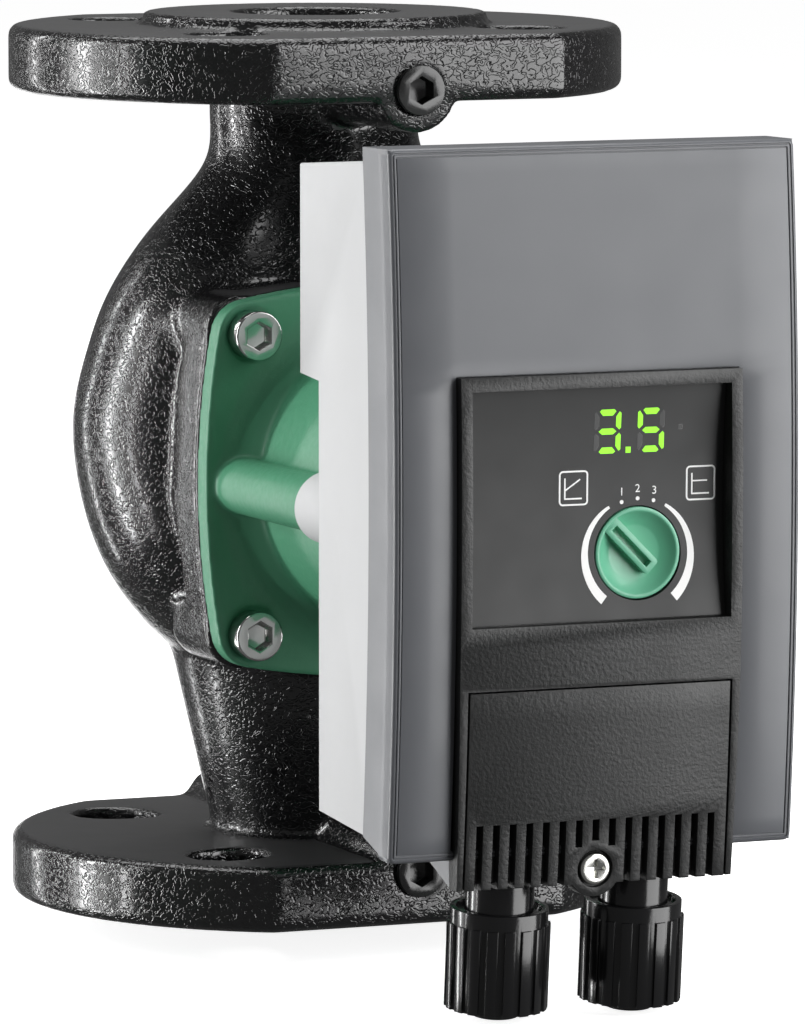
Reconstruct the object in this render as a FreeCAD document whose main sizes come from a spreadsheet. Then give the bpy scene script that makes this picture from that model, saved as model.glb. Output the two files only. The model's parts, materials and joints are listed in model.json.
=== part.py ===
# Wet-rotor circulator pump, DN 40, 220 mm between the port faces.
# Millimetres. Origin: centre of the lower port face. +Z runs up the pipe axis,
# -Y points to the front of the control module, +X to the right seen from the front.
import FreeCAD
import Part
import math
import os
import re
import Sketcher

Vector = FreeCAD.Vector
doc = FreeCAD.newDocument("circulator_pump")
sheet = doc.addObject("Spreadsheet::Sheet", "Dims")

# ---------------------------------------------------------------- driving dimensions
DIMENSIONS = {
    # pipe ports and combination flanges
    "port_length": 220, "motor_height": 110, "port_bore": 20, "port_depth": 30,
    "raised_radius": 42, "raised_height": 3, "flange_radius": 75, "flange_flat": 65,
    "flange_plate": 16, "flange_round": 2.7, "bolt_circle": 110, "bolt_hole": 9.5,
    "inner_circle": 100, "inner_hole": 6.75,
    # gauge ports on the flange flats
    "gauge_inset": 16, "gauge_boss": 10.3, "gauge_thread": 4.8, "gauge_collar": 5.9,
    "gauge_depth": 12, "gauge_seal": 0.5, "gauge_proud": 1.2, "gauge_hex": 6,
    # motor seat, its opening and the hydraulic chambers
    "seat_front": 47, "seat_depth": 15, "seat_recess": 4, "recess_radius": 46,
    "opening_radius": 43.5, "boss_radius": 9, "boss_depth": 26,
    "chamber_radius": 45.5, "chamber_front": 41, "chamber_back": 11,
    "eye_radius": 17.5, "eye_back": 4, "suction_radius": 20, "suction_back": 29,
    # bowed square outline of the motor flange
    "plate_half_width": 50, "plate_half_height": 47.8, "plate_bow": 205, "plate_corner": 9,
    "bolt_x": 38.4, "bolt_z": 36, "bolt_radius": 4, "bolt_clear": 4.3, "bolt_depth": 20,
    "bolt_head": 5.9, "bolt_head_height": 6.3, "bolt_hex": 6, "spot_radius": 6.6,
    "spot_depth": 0.8,
    # motor housing
    "plate_thickness": 6, "barrel_radius": 38, "stator_radius": 36, "barrel_front": 106.8,
    "nose_radius": 31, "nose_front": 121.8, "cavity_front": 101.6, "nose_cavity": 26,
    "nose_wall": 116, "side_boss_x": 41, "side_boss_radius": 6.8, "side_boss_front": 107,
    "screw_radius": 2.5, "screw_clear": 2.8, "screw_head": 4.4, "screw_tip": 97,
    "cable_slot_x": 11, "cable_slot_low": 123, "cable_slot_high": 133,
    # rotor can, bearings and shaft
    "clamp_radius": 45.9, "can_radius": 24.5, "can_wall": 0.5, "can_front": 99,
    "shaft_radius": 5, "running_gap": 0.05, "bearing_radius": 8.1, "holder_radius": 9,
    "rotor_radius": 22.6, "sleeve_wall": 0.4, "rotor_back": 53.5, "rotor_front": 86,
    "clamp_back": 44.2, "clamp_front": 45.7, "can_rim_front": 46.2, "hub_bearing_back": 41.9,
    "hub_bearing_front": 50.7, "bearing_hub": 12, "gasket_back": 43, "can_seal_inner": 36.6,
    "far_bearing_length": 9, "far_bearing_end": 1, "thrust_length": 2.3, "thrust_radius": 9,
    "shaft_step": 16, "shaft_back": 9, "shaft_thread": 3,
    # impeller
    "impeller_radius": 41, "vane_thickness": 2.2, "vane_count": 6, "vane_back": 18,
    "vane_width": 20, "hub_front": 39.5, "hub_rim": 37.7, "hub_cone": 34, "hub_foot": 9,
    "hub_radius": 8, "shroud_front": 20, "shroud_back": 18.2, "shroud_neck": 13.5,
    "eye_ring_back": 6, "eye_gap": 1.9, "eye_inner": 3.4, "shroud_inner": 15.5,
    "wear_ring_wall": 1.6, "nut_across": 10, "nut_back": 11, "nut_height": 5,
    # stator
    "core_back": 58, "core_front": 82, "slot_count": 12, "slot_mouth": 1.2, "tooth_root": 20,
    "coil_outer": 33.6, "coil_inner": 26.4, "coil_length": 5.4, "coil_overhang": 2,
    "insulator_radius": 35, "insulator_thickness": 0.8,
    # control module
    "module_half_width": 50, "module_wall": 2.5, "module_top": 193.6, "module_bottom": 39,
    "module_rear_low": 122.3, "module_rear_high": 111.2, "module_step": 142.3,
    "module_rear_top": 190.8, "module_boss": 8.5, "module_round": 0.9,
    "joint_front": 154.1, "joint_mid": 117.55, "joint_arc": 880, "cover_back_top": 196.9,
    "cover_half_width": 50.6, "cover_top": 197.1, "cover_bottom": 34.4, "cover_end": 165.3,
    "cover_arc": 850,
    "cover_wall": 2.5, "cover_round": 0.8, "chin_front": 162.9,
    "screw_lug": 4.6, "wire_half_width": 28, "cover_mid": 115.75, "chin_half_width": 34.4, "chin_back": 140,
    # black control panel with its concave foil
    "panel_half_width": 35.15, "panel_foot_half_width": 34.5, "panel_top": 145.2,
    "panel_bottom": 27.5, "panel_back": 163.1, "panel_arc": 853, "panel_arc_front": 171.9,
    "panel_bar": 74.4, "recess_half_width": 32.4, "recess_top": 142, "recess_bottom": 88,
    "recess_end": 168.3, "recess_arc": 215, "foil_thickness": 0.4,
    "strip_inner": 33.1, "digits_left": -3, "digits_right": 20, "digits_low": 124,
    "digits_high": 139,
    # knob and encoder
    "knob_x": 10.6, "knob_z": 103.3, "knob_radius": 10.6, "knob_hole": 10.9,
    "knob_front": 167.5, "knob_depth": 4.2, "knob_dish": 2.6, "knob_angle": 45,
    "spindle_radius": 3, "board_front": 159.6, "board_thickness": 1.6, "encoder_half": 7,
    # electronics inside the module
    "power_board_back": 132, "power_board_half": 45, "power_board_low": 48,
    "power_board_high": 188, "sink_half": 33, "sink_height": 3.2, "sink_low": 62,
    "sink_high": 116, "power_half": 24, "power_low": 72, "power_high": 104,
    "capacitor_pitch": 24, "capacitor_z": 168, "capacitor_radius": 9, "capacitor_back": 115.5,
    "choke_x": 28, "choke_z": 160, "choke_radius": 14, "choke_bore": 7, "choke_height": 11,
    "display_left": -20, "display_right": 29, "display_low": 84, "display_high": 139,
    "pillar_left": -17, "pillar_right": 26, "pillar_low": 88, "pillar_high": 135,
    "pillar_radius": 2.6, "window_gap": 1, "digit_front": 163.4,
    "block_half": 27, "block_front": 152, "block_low": 50, "block_high": 66, "pole_first": 23.5,
    "pole_z": 60.5, "pole_y": 147, "pole_radius": 2.1, "pole_depth": 7, "entry_radius": 1.8,
    "entry_depth": 6, "pole_count": 8,
    # terminal compartment
    "lid_half_width": 32.6, "lid_top": 73.1, "lid_step": 42.4, "lid_bottom": 27.4,
    "lid_back": 163.1, "lid_thickness": 2.2, "rib_pitch": 4.15, "rib_gap": 1.65, "rib_floor": 165,
    "lid_screw_z": 30.9, "lid_boss": 6.5, "lid_screw_head": 3.7, "lid_screw_hole": 4.4,
    "lid_screw_front": 168.1, "lid_screw_radius": 2, "lid_screw_clear": 2.1,
    # cable glands, measured down their own tilted axes
    "gland_x": 16.9, "gland_y": 151.5, "gland_z": 21, "gland_tilt": 5.5,
    "neck_radius": 8, "neck_length": 13, "thread_radius": 10, "thread_length": 14,
    "nut_collar": 11.4, "nut_collar_length": 3.5, "nut_radius": 12, "nut_length": 23.6,
    "nut_ribs": 18, "nut_rib_width": 2.5, "tip_radius": 5.4, "tip_length": 2.2,
    "nut_mouth": 4.8, "seal_bore": 4.5, "seal_radius": 7.4, "gland_bore": 7.5,
}

# Outer shape of the casting: height, half width, half depth, centre Y. The first two
# sections are the conical lower neck, the others the volute and its upper neck.
CASTING_SECTIONS = [
    (18.0, 25.3, 25.3, 0.0), (70.0, 38.3, 36.5, -2.5),
    (64.5, 36.8, 36.0, -2.5), (70.0, 43.2, 38.6, -3.0),
    (77.0, 49.2, 41.4, -3.0), (88.0, 55.8, 44.8, -3.0), (101.0, 60.2, 46.6, -3.0),
    (114.0, 62.4, 47.0, -3.0), (125.0, 62.2, 46.3, -3.0), (137.0, 59.1, 44.8, -3.0),
    (148.0, 55.3, 42.0, -3.0), (158.5, 49.5, 37.5, -3.0), (168.0, 41.7, 32.5, -2.0),
    (176.0, 33.4, 29.0, -1.0), (187.0, 25.9, 25.6, 0.0), (202.0, 24.3, 24.3, 0.0),
]

NECK_SECTIONS = 2

# The bends between the ports and the chambers: height, half width, half depth, centre Y.
SUCTION_BEND = [
    ("port_depth - 4", "19", "18.8", "0"), ("port_depth + 20", "19.5", "16.5", "5"),
    ("port_depth + 44", "19.2", "13", "12"), ("motor_height - 5", "17", "11", "14"),
]
DISCHARGE_BEND = [
    ("port_length - port_depth + 4", "19", "18.8", "0"),
    ("port_length - port_depth - 16", "19.5", "16", "-8"),
    ("motor_height + 34", "21", "12.5", "-25"),
]


def fill_sheet():
    """Write every driving dimension to the sheet as a named cell."""
    values = dict(DIMENSIONS)
    for number, section in enumerate(CASTING_SECTIONS):
        for word, size in zip(("height", "width", "depth", "shift"), section):
            values["casting_%s_%d" % (word, number)] = size
    for row, (alias, size) in enumerate(values.items(), start=1):
        sheet.set("A%d" % row, alias)
        sheet.set("B%d" % row, str(size))
        sheet.setAlias("B%d" % row, alias)
    doc.recompute()
    return set(values)


ALIASES = fill_sheet()
WORD = re.compile(r"[A-Za-z_][A-Za-z_0-9]*")


def cells(text):
    """The formula with each alias written as a cell of the sheet."""
    return WORD.sub(lambda hit: "Dims." + hit.group() if hit.group() in ALIASES else hit.group(),
                    str(text))


def value(text):
    """The formula's present number."""
    return float(sheet.evalExpression(cells(text)))


def bind(thing, prop, text):
    """Bind a property of a document object to a formula of sheet cells."""
    thing.setExpression(prop, cells(text))


# ---------------------------------------------------------------- sketches and features
PARTS = []


def new_body(name, x="0", y="0", z="0"):
    """A PartDesign body for one sub-part, placed by sheet formulas."""
    body = doc.addObject("PartDesign::Body", name)
    body.Label = name
    for axis, text in zip("xyz", (x, y, z)):
        if text != "0":
            bind(body, ".Placement.Base." + axis, text)
    PARTS.append(body)
    return body


def sketch_on(body, plane, offset="0"):
    """A sketch on one of the body's own planes, shifted along the plane's normal."""
    sketch = body.newObject("Sketcher::SketchObject", body.Name + "_sketch")
    for feature in body.Origin.OriginFeatures:
        if feature.Role == plane:
            sketch.AttachmentSupport = (feature, [""])
    sketch.MapMode = "FlatFace"
    if offset != "0":
        bind(sketch, ".AttachmentOffset.Base.z", offset)
    return sketch


def fix_point(sketch, geometry, end, x, y):
    """Hold a sketch point at two sheet formulas, measured from the sketch origin."""
    for kind, text in (("DistanceX", x), ("DistanceY", y)):
        rule = Sketcher.Constraint(kind, -1, 1, geometry, end, value(text))
        bind(sketch, "Constraints[%d]" % sketch.addConstraint(rule), text)


def add_circle(sketch, radius, x="0", y="0"):
    """A circle whose radius and centre follow the sheet."""
    centre = Vector(value(x), value(y), 0)
    circle = sketch.addGeometry(Part.Circle(centre, Vector(0, 0, 1), value(radius)), False)
    rule = Sketcher.Constraint("Radius", circle, value(radius))
    bind(sketch, "Constraints[%d]" % sketch.addConstraint(rule), radius)
    fix_point(sketch, circle, 3, x, y)


def arc_between(start, end, radius):
    """An arc from start to end; a positive radius bulges to the left of the way."""
    chord = end - start
    left = Vector(-chord.y, chord.x, 0).normalize()
    rise = abs(radius) - math.sqrt(radius * radius - chord.Length * chord.Length / 4)
    middle = (start + end) * 0.5 + left * math.copysign(rise, radius)
    return Part.Arc(start, middle, end)


def add_outline(sketch, corners):
    """A closed outline. A corner is (x, y), or (x, y, radius) to start an arc there."""
    points = [Vector(value(corner[0]), value(corner[1]), 0) for corner in corners]
    count = len(points)
    first = sketch.GeometryCount
    ends = []
    for index, corner in enumerate(corners):
        start, end = points[index], points[(index + 1) % count]
        if len(corner) == 3:
            arc = arc_between(start, end, value(corner[2]))
            line = sketch.addGeometry(arc, False)
            backwards = sketch.getPoint(line, 1).distanceToPoint(start) > 1e-6
            ends.append((2, 1) if backwards else (1, 2))
            size = "abs(%s)" % corner[2]
            rule = Sketcher.Constraint("Radius", line, value(size))
            bind(sketch, "Constraints[%d]" % sketch.addConstraint(rule), size)
        else:
            sketch.addGeometry(Part.LineSegment(start, end), False)
            ends.append((1, 2))
    for index, corner in enumerate(corners):
        following = (index + 1) % count
        sketch.addConstraint(Sketcher.Constraint(
            "Coincident", first + index, ends[index][1], first + following, ends[following][0]))
        fix_point(sketch, first + index, ends[index][0], corner[0], corner[1])


def add_box_outline(sketch, left, right, low, high):
    """A rectangle between four sheet formulas."""
    add_outline(sketch, [(left, low), (right, low), (right, high), (left, high)])


def finish_feature(body, feature, adds):
    """Compute a feature and make sure that it changed the solid the right way."""
    before = body.Shape.Volume if body.Shape and not body.Shape.isNull() else 0.0
    doc.recompute()
    change = body.Shape.Volume - before
    if (change <= 1e-6) if adds else (change >= -1e-6):
        raise RuntimeError("%s: %s changed nothing" % (body.Label, feature.Name))
    return feature


def pad(body, sketch, length, both=False, reverse=False):
    """Pad a sketch; both spreads the length evenly to the two sides."""
    feature = body.newObject("PartDesign::Pad", body.Name + "_pad")
    feature.Profile = sketch
    bind(feature, "Length", length)
    feature.Midplane = both
    feature.Reversed = reverse
    return finish_feature(body, feature, True)


def pocket(body, sketch, length, both=False, reverse=False):
    """Pocket a sketch; both spreads the length evenly to the two sides."""
    feature = body.newObject("PartDesign::Pocket", body.Name + "_pocket")
    feature.Profile = sketch
    bind(feature, "Length", length)
    feature.Midplane = both
    feature.Reversed = reverse
    return finish_feature(body, feature, False)


def revolve(body, sketch, axis="H_Axis", groove=False):
    """Turn a sketch a full circle about one of its own axes."""
    kind = "PartDesign::Groove" if groove else "PartDesign::Revolution"
    feature = body.newObject(kind, body.Name + "_turn")
    feature.Profile = sketch
    feature.ReferenceAxis = (sketch, [axis])
    feature.Angle = 360
    return finish_feature(body, feature, not groove)


def loft(body, sketches, cut=False):
    """Loft through a run of sketches."""
    kind = "PartDesign::SubtractiveLoft" if cut else "PartDesign::AdditiveLoft"
    feature = body.newObject(kind, body.Name + "_loft")
    feature.Profile = sketches[0]
    feature.Sections = sketches[1:]
    return finish_feature(body, feature, not cut)


def repeat_round(body, feature, count, sketch, axis="N_Axis", adds=True):
    """Repeat a feature evenly around a sketch's axis."""
    pattern = body.newObject("PartDesign::PolarPattern", body.Name + "_pattern")
    pattern.Originals = [feature]
    pattern.Axis = (sketch, [axis])
    pattern.Angle = 360
    bind(pattern, "Occurrences", count)
    body.Tip = pattern
    return finish_feature(body, pattern, adds)


def round_edges(body, radius, wanted, chamfer=False):
    """Fillet or chamfer the edges of the present solid that wanted() picks."""
    base = body.Tip
    names = ["Edge%d" % (number + 1) for number, edge in enumerate(base.Shape.Edges) if wanted(edge)]
    if not names:
        raise RuntimeError(body.Label + ": no edge to round")
    kind = "PartDesign::Chamfer" if chamfer else "PartDesign::Fillet"
    feature = body.newObject(kind, body.Name + "_round")
    feature.Base = (base, names)
    bind(feature, "Size" if chamfer else "Radius", radius)
    doc.recompute()
    return feature


def turned(name, corners):
    """A piece turned about the motor axis, from an outline of (Y, radius) corners."""
    body = new_body(name, z="motor_height")
    sketch = sketch_on(body, "YZ_Plane")
    add_outline(sketch, corners)
    revolve(body, sketch)
    return body


def ring(name, outer, inner, back, front):
    """A plain ring about the motor axis between two distances in front of the pipe axis."""
    return turned(name, [("-(%s)" % back, inner), ("-(%s)" % back, outer),
                         ("-(%s)" % front, outer), ("-(%s)" % front, inner)])


def block(name, x0, x1, y_back, y_front, z0, z1):
    """A rectangular piece; y_back and y_front are distances in front of the pipe axis."""
    body = new_body(name)
    sketch = sketch_on(body, "XZ_Plane", y_back)
    add_box_outline(sketch, x0, x1, z0, z1)
    pad(body, sketch, "(%s) - (%s)" % (y_front, y_back))
    return body


def disc_pocket(body, radius, x, z, y_back, y_front):
    """Cut a round hole along Y between two distances in front of the pipe axis."""
    sketch = sketch_on(body, "XZ_Plane", y_front)
    add_circle(sketch, radius, x, z)
    return pocket(body, sketch, "(%s) - (%s)" % (y_front, y_back))


def disc_pad(body, radius, x, z, y_back, y_front):
    """Add a round boss along Y between two distances in front of the pipe axis."""
    sketch = sketch_on(body, "XZ_Plane", y_back)
    add_circle(sketch, radius, x, z)
    return pad(body, sketch, "(%s) - (%s)" % (y_front, y_back))


def group(name, members, make_member):
    """Identical pieces in one node: a compound of separate solids."""
    solids = []
    for number, place in enumerate(members):
        solids.append(make_member("%s_%d" % (name, number), place))
    node = doc.addObject("Part::Compound", name)
    node.Label = name
    node.Links = solids
    for solid in solids:
        PARTS.remove(solid)
    PARTS.append(node)
    return node


# ---------------------------------------------------------------- pump casing
def on_level(edge, level, reach):
    """True for an edge that lies at one height, outside a distance from the pipe axis."""
    points = [vertex.Point for vertex in edge.Vertexes]
    level_ok = all(abs(point.z - level) < 1e-3 for point in points)
    return bool(points) and level_ok and all(math.hypot(p.x, p.y) > reach for p in points)


def add_flange(body, low, face):
    """One combination flange: plate with two flats, rounded rims and raised face."""
    half_chord = "sqrt(flange_radius^2 - flange_flat^2)"
    sketch = sketch_on(body, "XY_Plane", low)
    add_outline(sketch, [
        ("-%s" % half_chord, "-flange_flat"), (half_chord, "-flange_flat", "-flange_radius"),
        (half_chord, "flange_flat"), ("-%s" % half_chord, "flange_flat", "-flange_radius")])
    pad(body, sketch, "flange_plate")
    levels = (value(low), value(low) + value("flange_plate"))
    round_edges(body, "flange_round", lambda edge: any(on_level(edge, z, 60) for z in levels))
    sketch = sketch_on(body, "XY_Plane", face)
    add_circle(sketch, "raised_radius")
    pad(body, sketch, "raised_height")


def cut_flange_holes(body, low):
    """Four bolt holes that suit both bolt circles of the combination flange."""
    for circle, radius in (("bolt_circle", "bolt_hole"), ("inner_circle", "inner_hole")):
        place = "%s / 2 * sin(45)" % circle
        sketch = sketch_on(body, "XY_Plane", "%s + flange_plate" % low)
        for side_x in ("", "-"):
            for side_y in ("", "-"):
                add_circle(sketch, radius, side_x + place, side_y + place)
        pocket(body, sketch, "flange_plate")


def ellipse_on(body, height, half_width, half_depth, shift):
    """A horizontal elliptical section about (0, shift)."""
    sketch = sketch_on(body, "XY_Plane", height)
    wide, deep = value(half_width), value(half_depth)
    centre = Vector(0, value(shift), 0)
    if abs(wide - deep) < 1e-6:
        wide += 0.01
    if wide > deep:
        ellipse = Part.Ellipse(centre + Vector(wide, 0, 0), centre + Vector(0, deep, 0), centre)
    else:
        ellipse = Part.Ellipse(centre + Vector(0, deep, 0), centre - Vector(wide, 0, 0), centre)
    sketch.addGeometry(ellipse, False)
    return sketch


def add_bowed_square(sketch, height="motor_height"):
    """The motor flange's outline: four bowed sides joined by round corners."""
    wide, tall = value("plate_half_width"), value("plate_half_height")
    bow, corner, middle = value("plate_bow"), value("plate_corner"), value(height)
    reach = bow - corner
    angle = math.acos((bow - wide) / reach) / 2
    for _ in range(60):
        x = -(bow - wide) + reach * math.cos(angle)
        z = reach * math.sin(angle)
        miss = math.hypot(x, z + bow - tall) - reach
        angle -= miss / reach * 0.7
    turn_side = math.atan2(z, x + bow - wide)
    turn_top = math.atan2(z + bow - tall, x)
    up = Vector(0, 0, 1)
    quarter = [
        (Vector(wide - bow, 0, 0), bow, -turn_side, turn_side),
        (Vector(x, z, 0), corner, turn_side, turn_top),
        (Vector(0, tall - bow, 0), bow, turn_top, math.pi - turn_top),
        (Vector(-x, z, 0), corner, math.pi - turn_top, math.pi - turn_side),
    ]
    shift = Vector(0, middle, 0)
    for centre, radius, start, end in quarter:
        circle = Part.Circle(centre + shift, up, radius)
        sketch.addGeometry(Part.ArcOfCircle(circle, start, end), False)
    for centre, radius, start, end in quarter:
        circle = Part.Circle(shift - centre, up, radius)
        sketch.addGeometry(Part.ArcOfCircle(circle, start + math.pi, end + math.pi), False)
    for arc in range(8):
        sketch.addConstraint(Sketcher.Constraint("Coincident", arc, 2, (arc + 1) % 8, 1))
        size = "plate_corner" if arc % 2 else "plate_bow"
        rule = Sketcher.Constraint("Radius", arc, value(size))
        bind(sketch, "Constraints[%d]" % sketch.addConstraint(rule), size)


BOLT_PLACES = [(sx + "bolt_x", "motor_height %s bolt_z" % sz) for sx in ("", "-") for sz in "+-"]


def make_pump_housing():
    """Volute casing with both ports, the motor seat and the water passages."""
    body = new_body("pump_housing")
    add_flange(body, "raised_height", "0")
    top_plate = "port_length - raised_height - flange_plate"
    add_flange(body, top_plate, "port_length - raised_height")
    sections = []
    for number in range(len(CASTING_SECTIONS)):
        words = ["casting_%s_%d" % (word, number) for word in ("height", "width", "depth", "shift")]
        sections.append(ellipse_on(body, *words))
    loft(body, sections[:NECK_SECTIONS])
    loft(body, sections[NECK_SECTIONS:])
    sketch = sketch_on(body, "XZ_Plane", "seat_front - seat_depth")
    add_bowed_square(sketch)
    pad(body, sketch, "seat_depth")
    for x, z in BOLT_PLACES:
        disc_pad(body, "boss_radius", x, z, "seat_front - boss_depth", "seat_front")
    for z in ("gauge_inset", "port_length - gauge_inset"):
        sketch = sketch_on(body, "XZ_Plane")
        add_circle(sketch, "gauge_boss", "0", z)
        pad(body, sketch, "2 * flange_flat - 1.2", both=True)
    cut_flange_holes(body, "raised_height")
    cut_flange_holes(body, top_plate)
    for z in ("gauge_inset", "port_length - gauge_inset"):
        disc_pocket(body, "gauge_thread", "0", z, "flange_flat - gauge_depth", "flange_flat")
        sketch = sketch_on(body, "XZ_Plane", "-flange_flat")
        add_circle(sketch, "gauge_thread", "0", z)
        pocket(body, sketch, "gauge_depth", reverse=True)
    cut_water_passages(body)
    for x, z in BOLT_PLACES:
        disc_pocket(body, "bolt_radius", x, z, "seat_front - bolt_depth", "seat_front")
    return body


def cut_water_passages(body):
    """Straight port bores, the suction bend behind the impeller and the volute chamber."""
    for height, reverse in (("0", True), ("port_length", False)):
        sketch = sketch_on(body, "XY_Plane", height)
        add_circle(sketch, "port_bore")
        pocket(body, sketch, "port_depth", reverse=reverse)
    sketch = sketch_on(body, "YZ_Plane")
    axis = "motor_height"
    steps = [("seat_front + 8", "recess_radius"), ("seat_front - seat_recess", "recess_radius"),
             ("seat_front - seat_recess", "opening_radius"), ("chamber_front", "opening_radius"),
             ("chamber_front", "chamber_radius"), ("chamber_back", "chamber_radius"),
             ("chamber_back", "eye_radius"), ("eye_back", "eye_radius"),
             ("eye_back", "suction_radius"), ("-suction_back", "suction_radius")]
    groove_chamber(body, sketch, axis, steps)
    for bend in (SUCTION_BEND, DISCHARGE_BEND):
        loft(body, [ellipse_on(body, *section) for section in bend], cut=True)


def groove_chamber(body, sketch, axis, steps):
    """Groove a stepped chamber about the motor axis, which lies at height axis."""
    corners = [("-(%s)" % steps[0][0], axis)]
    corners += [("-(%s)" % y, "%s + %s" % (axis, radius)) for y, radius in steps]
    corners.append(("-(%s)" % steps[-1][0], axis))
    add_outline(sketch, corners)
    centre_line = Part.LineSegment(Vector(-90, value(axis), 0), Vector(90, value(axis), 0))
    line = sketch.addGeometry(centre_line, True)
    fix_point(sketch, line, 1, "-90", axis)
    fix_point(sketch, line, 2, "90", axis)
    return revolve(body, sketch, axis="Axis0", groove=True)


GAUGE_PLACES = [(side, z) for side in (1, -1) for z in ("gauge_inset", "port_length - gauge_inset")]


def gauge_piece(name, place, outer, near, far, bore="0"):
    """A round piece on a gauge port, between two distances out from the pipe axis."""
    side, z = place
    body = new_body(name)
    sign = "" if side > 0 else "-"
    sketch = sketch_on(body, "XZ_Plane", "%s(%s)" % (sign, near))
    add_circle(sketch, outer, "0", z)
    if bore != "0":
        add_circle(sketch, bore, "0", z)
    pad(body, sketch, "(%s) - (%s)" % (far, near), reverse=side < 0)
    return body


def gauge_plug(name, place):
    """Screw plug of a gauge port: thread, collar and hexagon socket."""
    side, z = place
    face = "flange_flat + gauge_seal"
    body = gauge_piece(name, place, "gauge_thread", "flange_flat - gauge_depth + 2", face)
    sign = "" if side > 0 else "-"
    sketch = sketch_on(body, "XZ_Plane", "%s(%s)" % (sign, face))
    add_circle(sketch, "gauge_collar", "0", z)
    pad(body, sketch, "gauge_proud", reverse=side < 0)
    sketch = sketch_on(body, "XZ_Plane", "%s(%s + gauge_proud)" % (sign, face))
    add_hexagon(sketch, "gauge_hex", "0", z)
    pocket(body, sketch, "5", reverse=side < 0)
    return body


def add_hexagon(sketch, across_flats, x, z):
    """A hexagon with two vertical flats' corners up and down."""
    far = "%s / sqrt(3)" % across_flats
    half = "%s / 2" % across_flats
    add_outline(sketch, [
        (x, "%s + %s" % (z, far)), ("%s - %s" % (x, half), "%s + %s / 2" % (z, far)),
        ("%s - %s" % (x, half), "%s - %s / 2" % (z, far)), (x, "%s - %s" % (z, far)),
        ("%s + %s" % (x, half), "%s - %s / 2" % (z, far)),
        ("%s + %s" % (x, half), "%s + %s / 2" % (z, far))])


def gauge_seal(name, place):
    """Flat sealing ring under a plug's collar."""
    return gauge_piece(name, place, "gauge_collar", "flange_flat", "flange_flat + gauge_seal",
                       "gauge_thread")


# ---------------------------------------------------------------- motor
def make_motor_housing():
    """Aluminium motor housing: bowed flange, barrel, nose and two side bosses."""
    body = new_body("motor_housing")
    sketch = sketch_on(body, "XZ_Plane", "seat_front")
    add_bowed_square(sketch)
    add_circle(sketch, "stator_radius", "0", "motor_height")
    pad(body, sketch, "plate_thickness")
    front = "seat_front + plate_thickness"
    for side in ("", "-"):
        disc_pad(body, "side_boss_radius", side + "side_boss_x", "motor_height", front,
                 "side_boss_front")
    sketch = sketch_on(body, "XZ_Plane", "seat_front")
    add_circle(sketch, "barrel_radius", "0", "motor_height")
    pad(body, sketch, "barrel_front - seat_front")
    disc_pad(body, "nose_radius", "0", "motor_height", "barrel_front", "nose_front")
    disc_pocket(body, "stator_radius", "0", "motor_height", "seat_front", "cavity_front")
    disc_pocket(body, "nose_cavity", "0", "motor_height", "cavity_front - 1", "nose_wall")
    sketch = sketch_on(body, "XZ_Plane", "nose_front")
    add_box_outline(sketch, "-cable_slot_x", "cable_slot_x", "cable_slot_low", "cable_slot_high")
    pocket(body, sketch, "nose_front - cavity_front")
    for x, z in BOLT_PLACES:
        disc_pocket(body, "bolt_clear", x, z, "seat_front", front)
        disc_pocket(body, "spot_radius", x, z, front + " - spot_depth", front)
    for side in ("", "-"):
        disc_pocket(body, "screw_radius", side + "side_boss_x", "motor_height",
                    "screw_tip - 2", "side_boss_front")
    return body


def motor_bolt(name, place):
    """Hexagon socket screw that clamps the motor flange to its seat."""
    x, z = place
    body = new_body(name)
    floor = "seat_front + plate_thickness - spot_depth"
    disc_pad(body, "bolt_radius", x, z, "seat_front - bolt_depth + 3", floor)
    disc_pad(body, "bolt_head", x, z, floor, floor + " + bolt_head_height")
    sketch = sketch_on(body, "XZ_Plane", floor + " + bolt_head_height")
    add_hexagon(sketch, "bolt_hex", x, z)
    pocket(body, sketch, "4")
    return body


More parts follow.
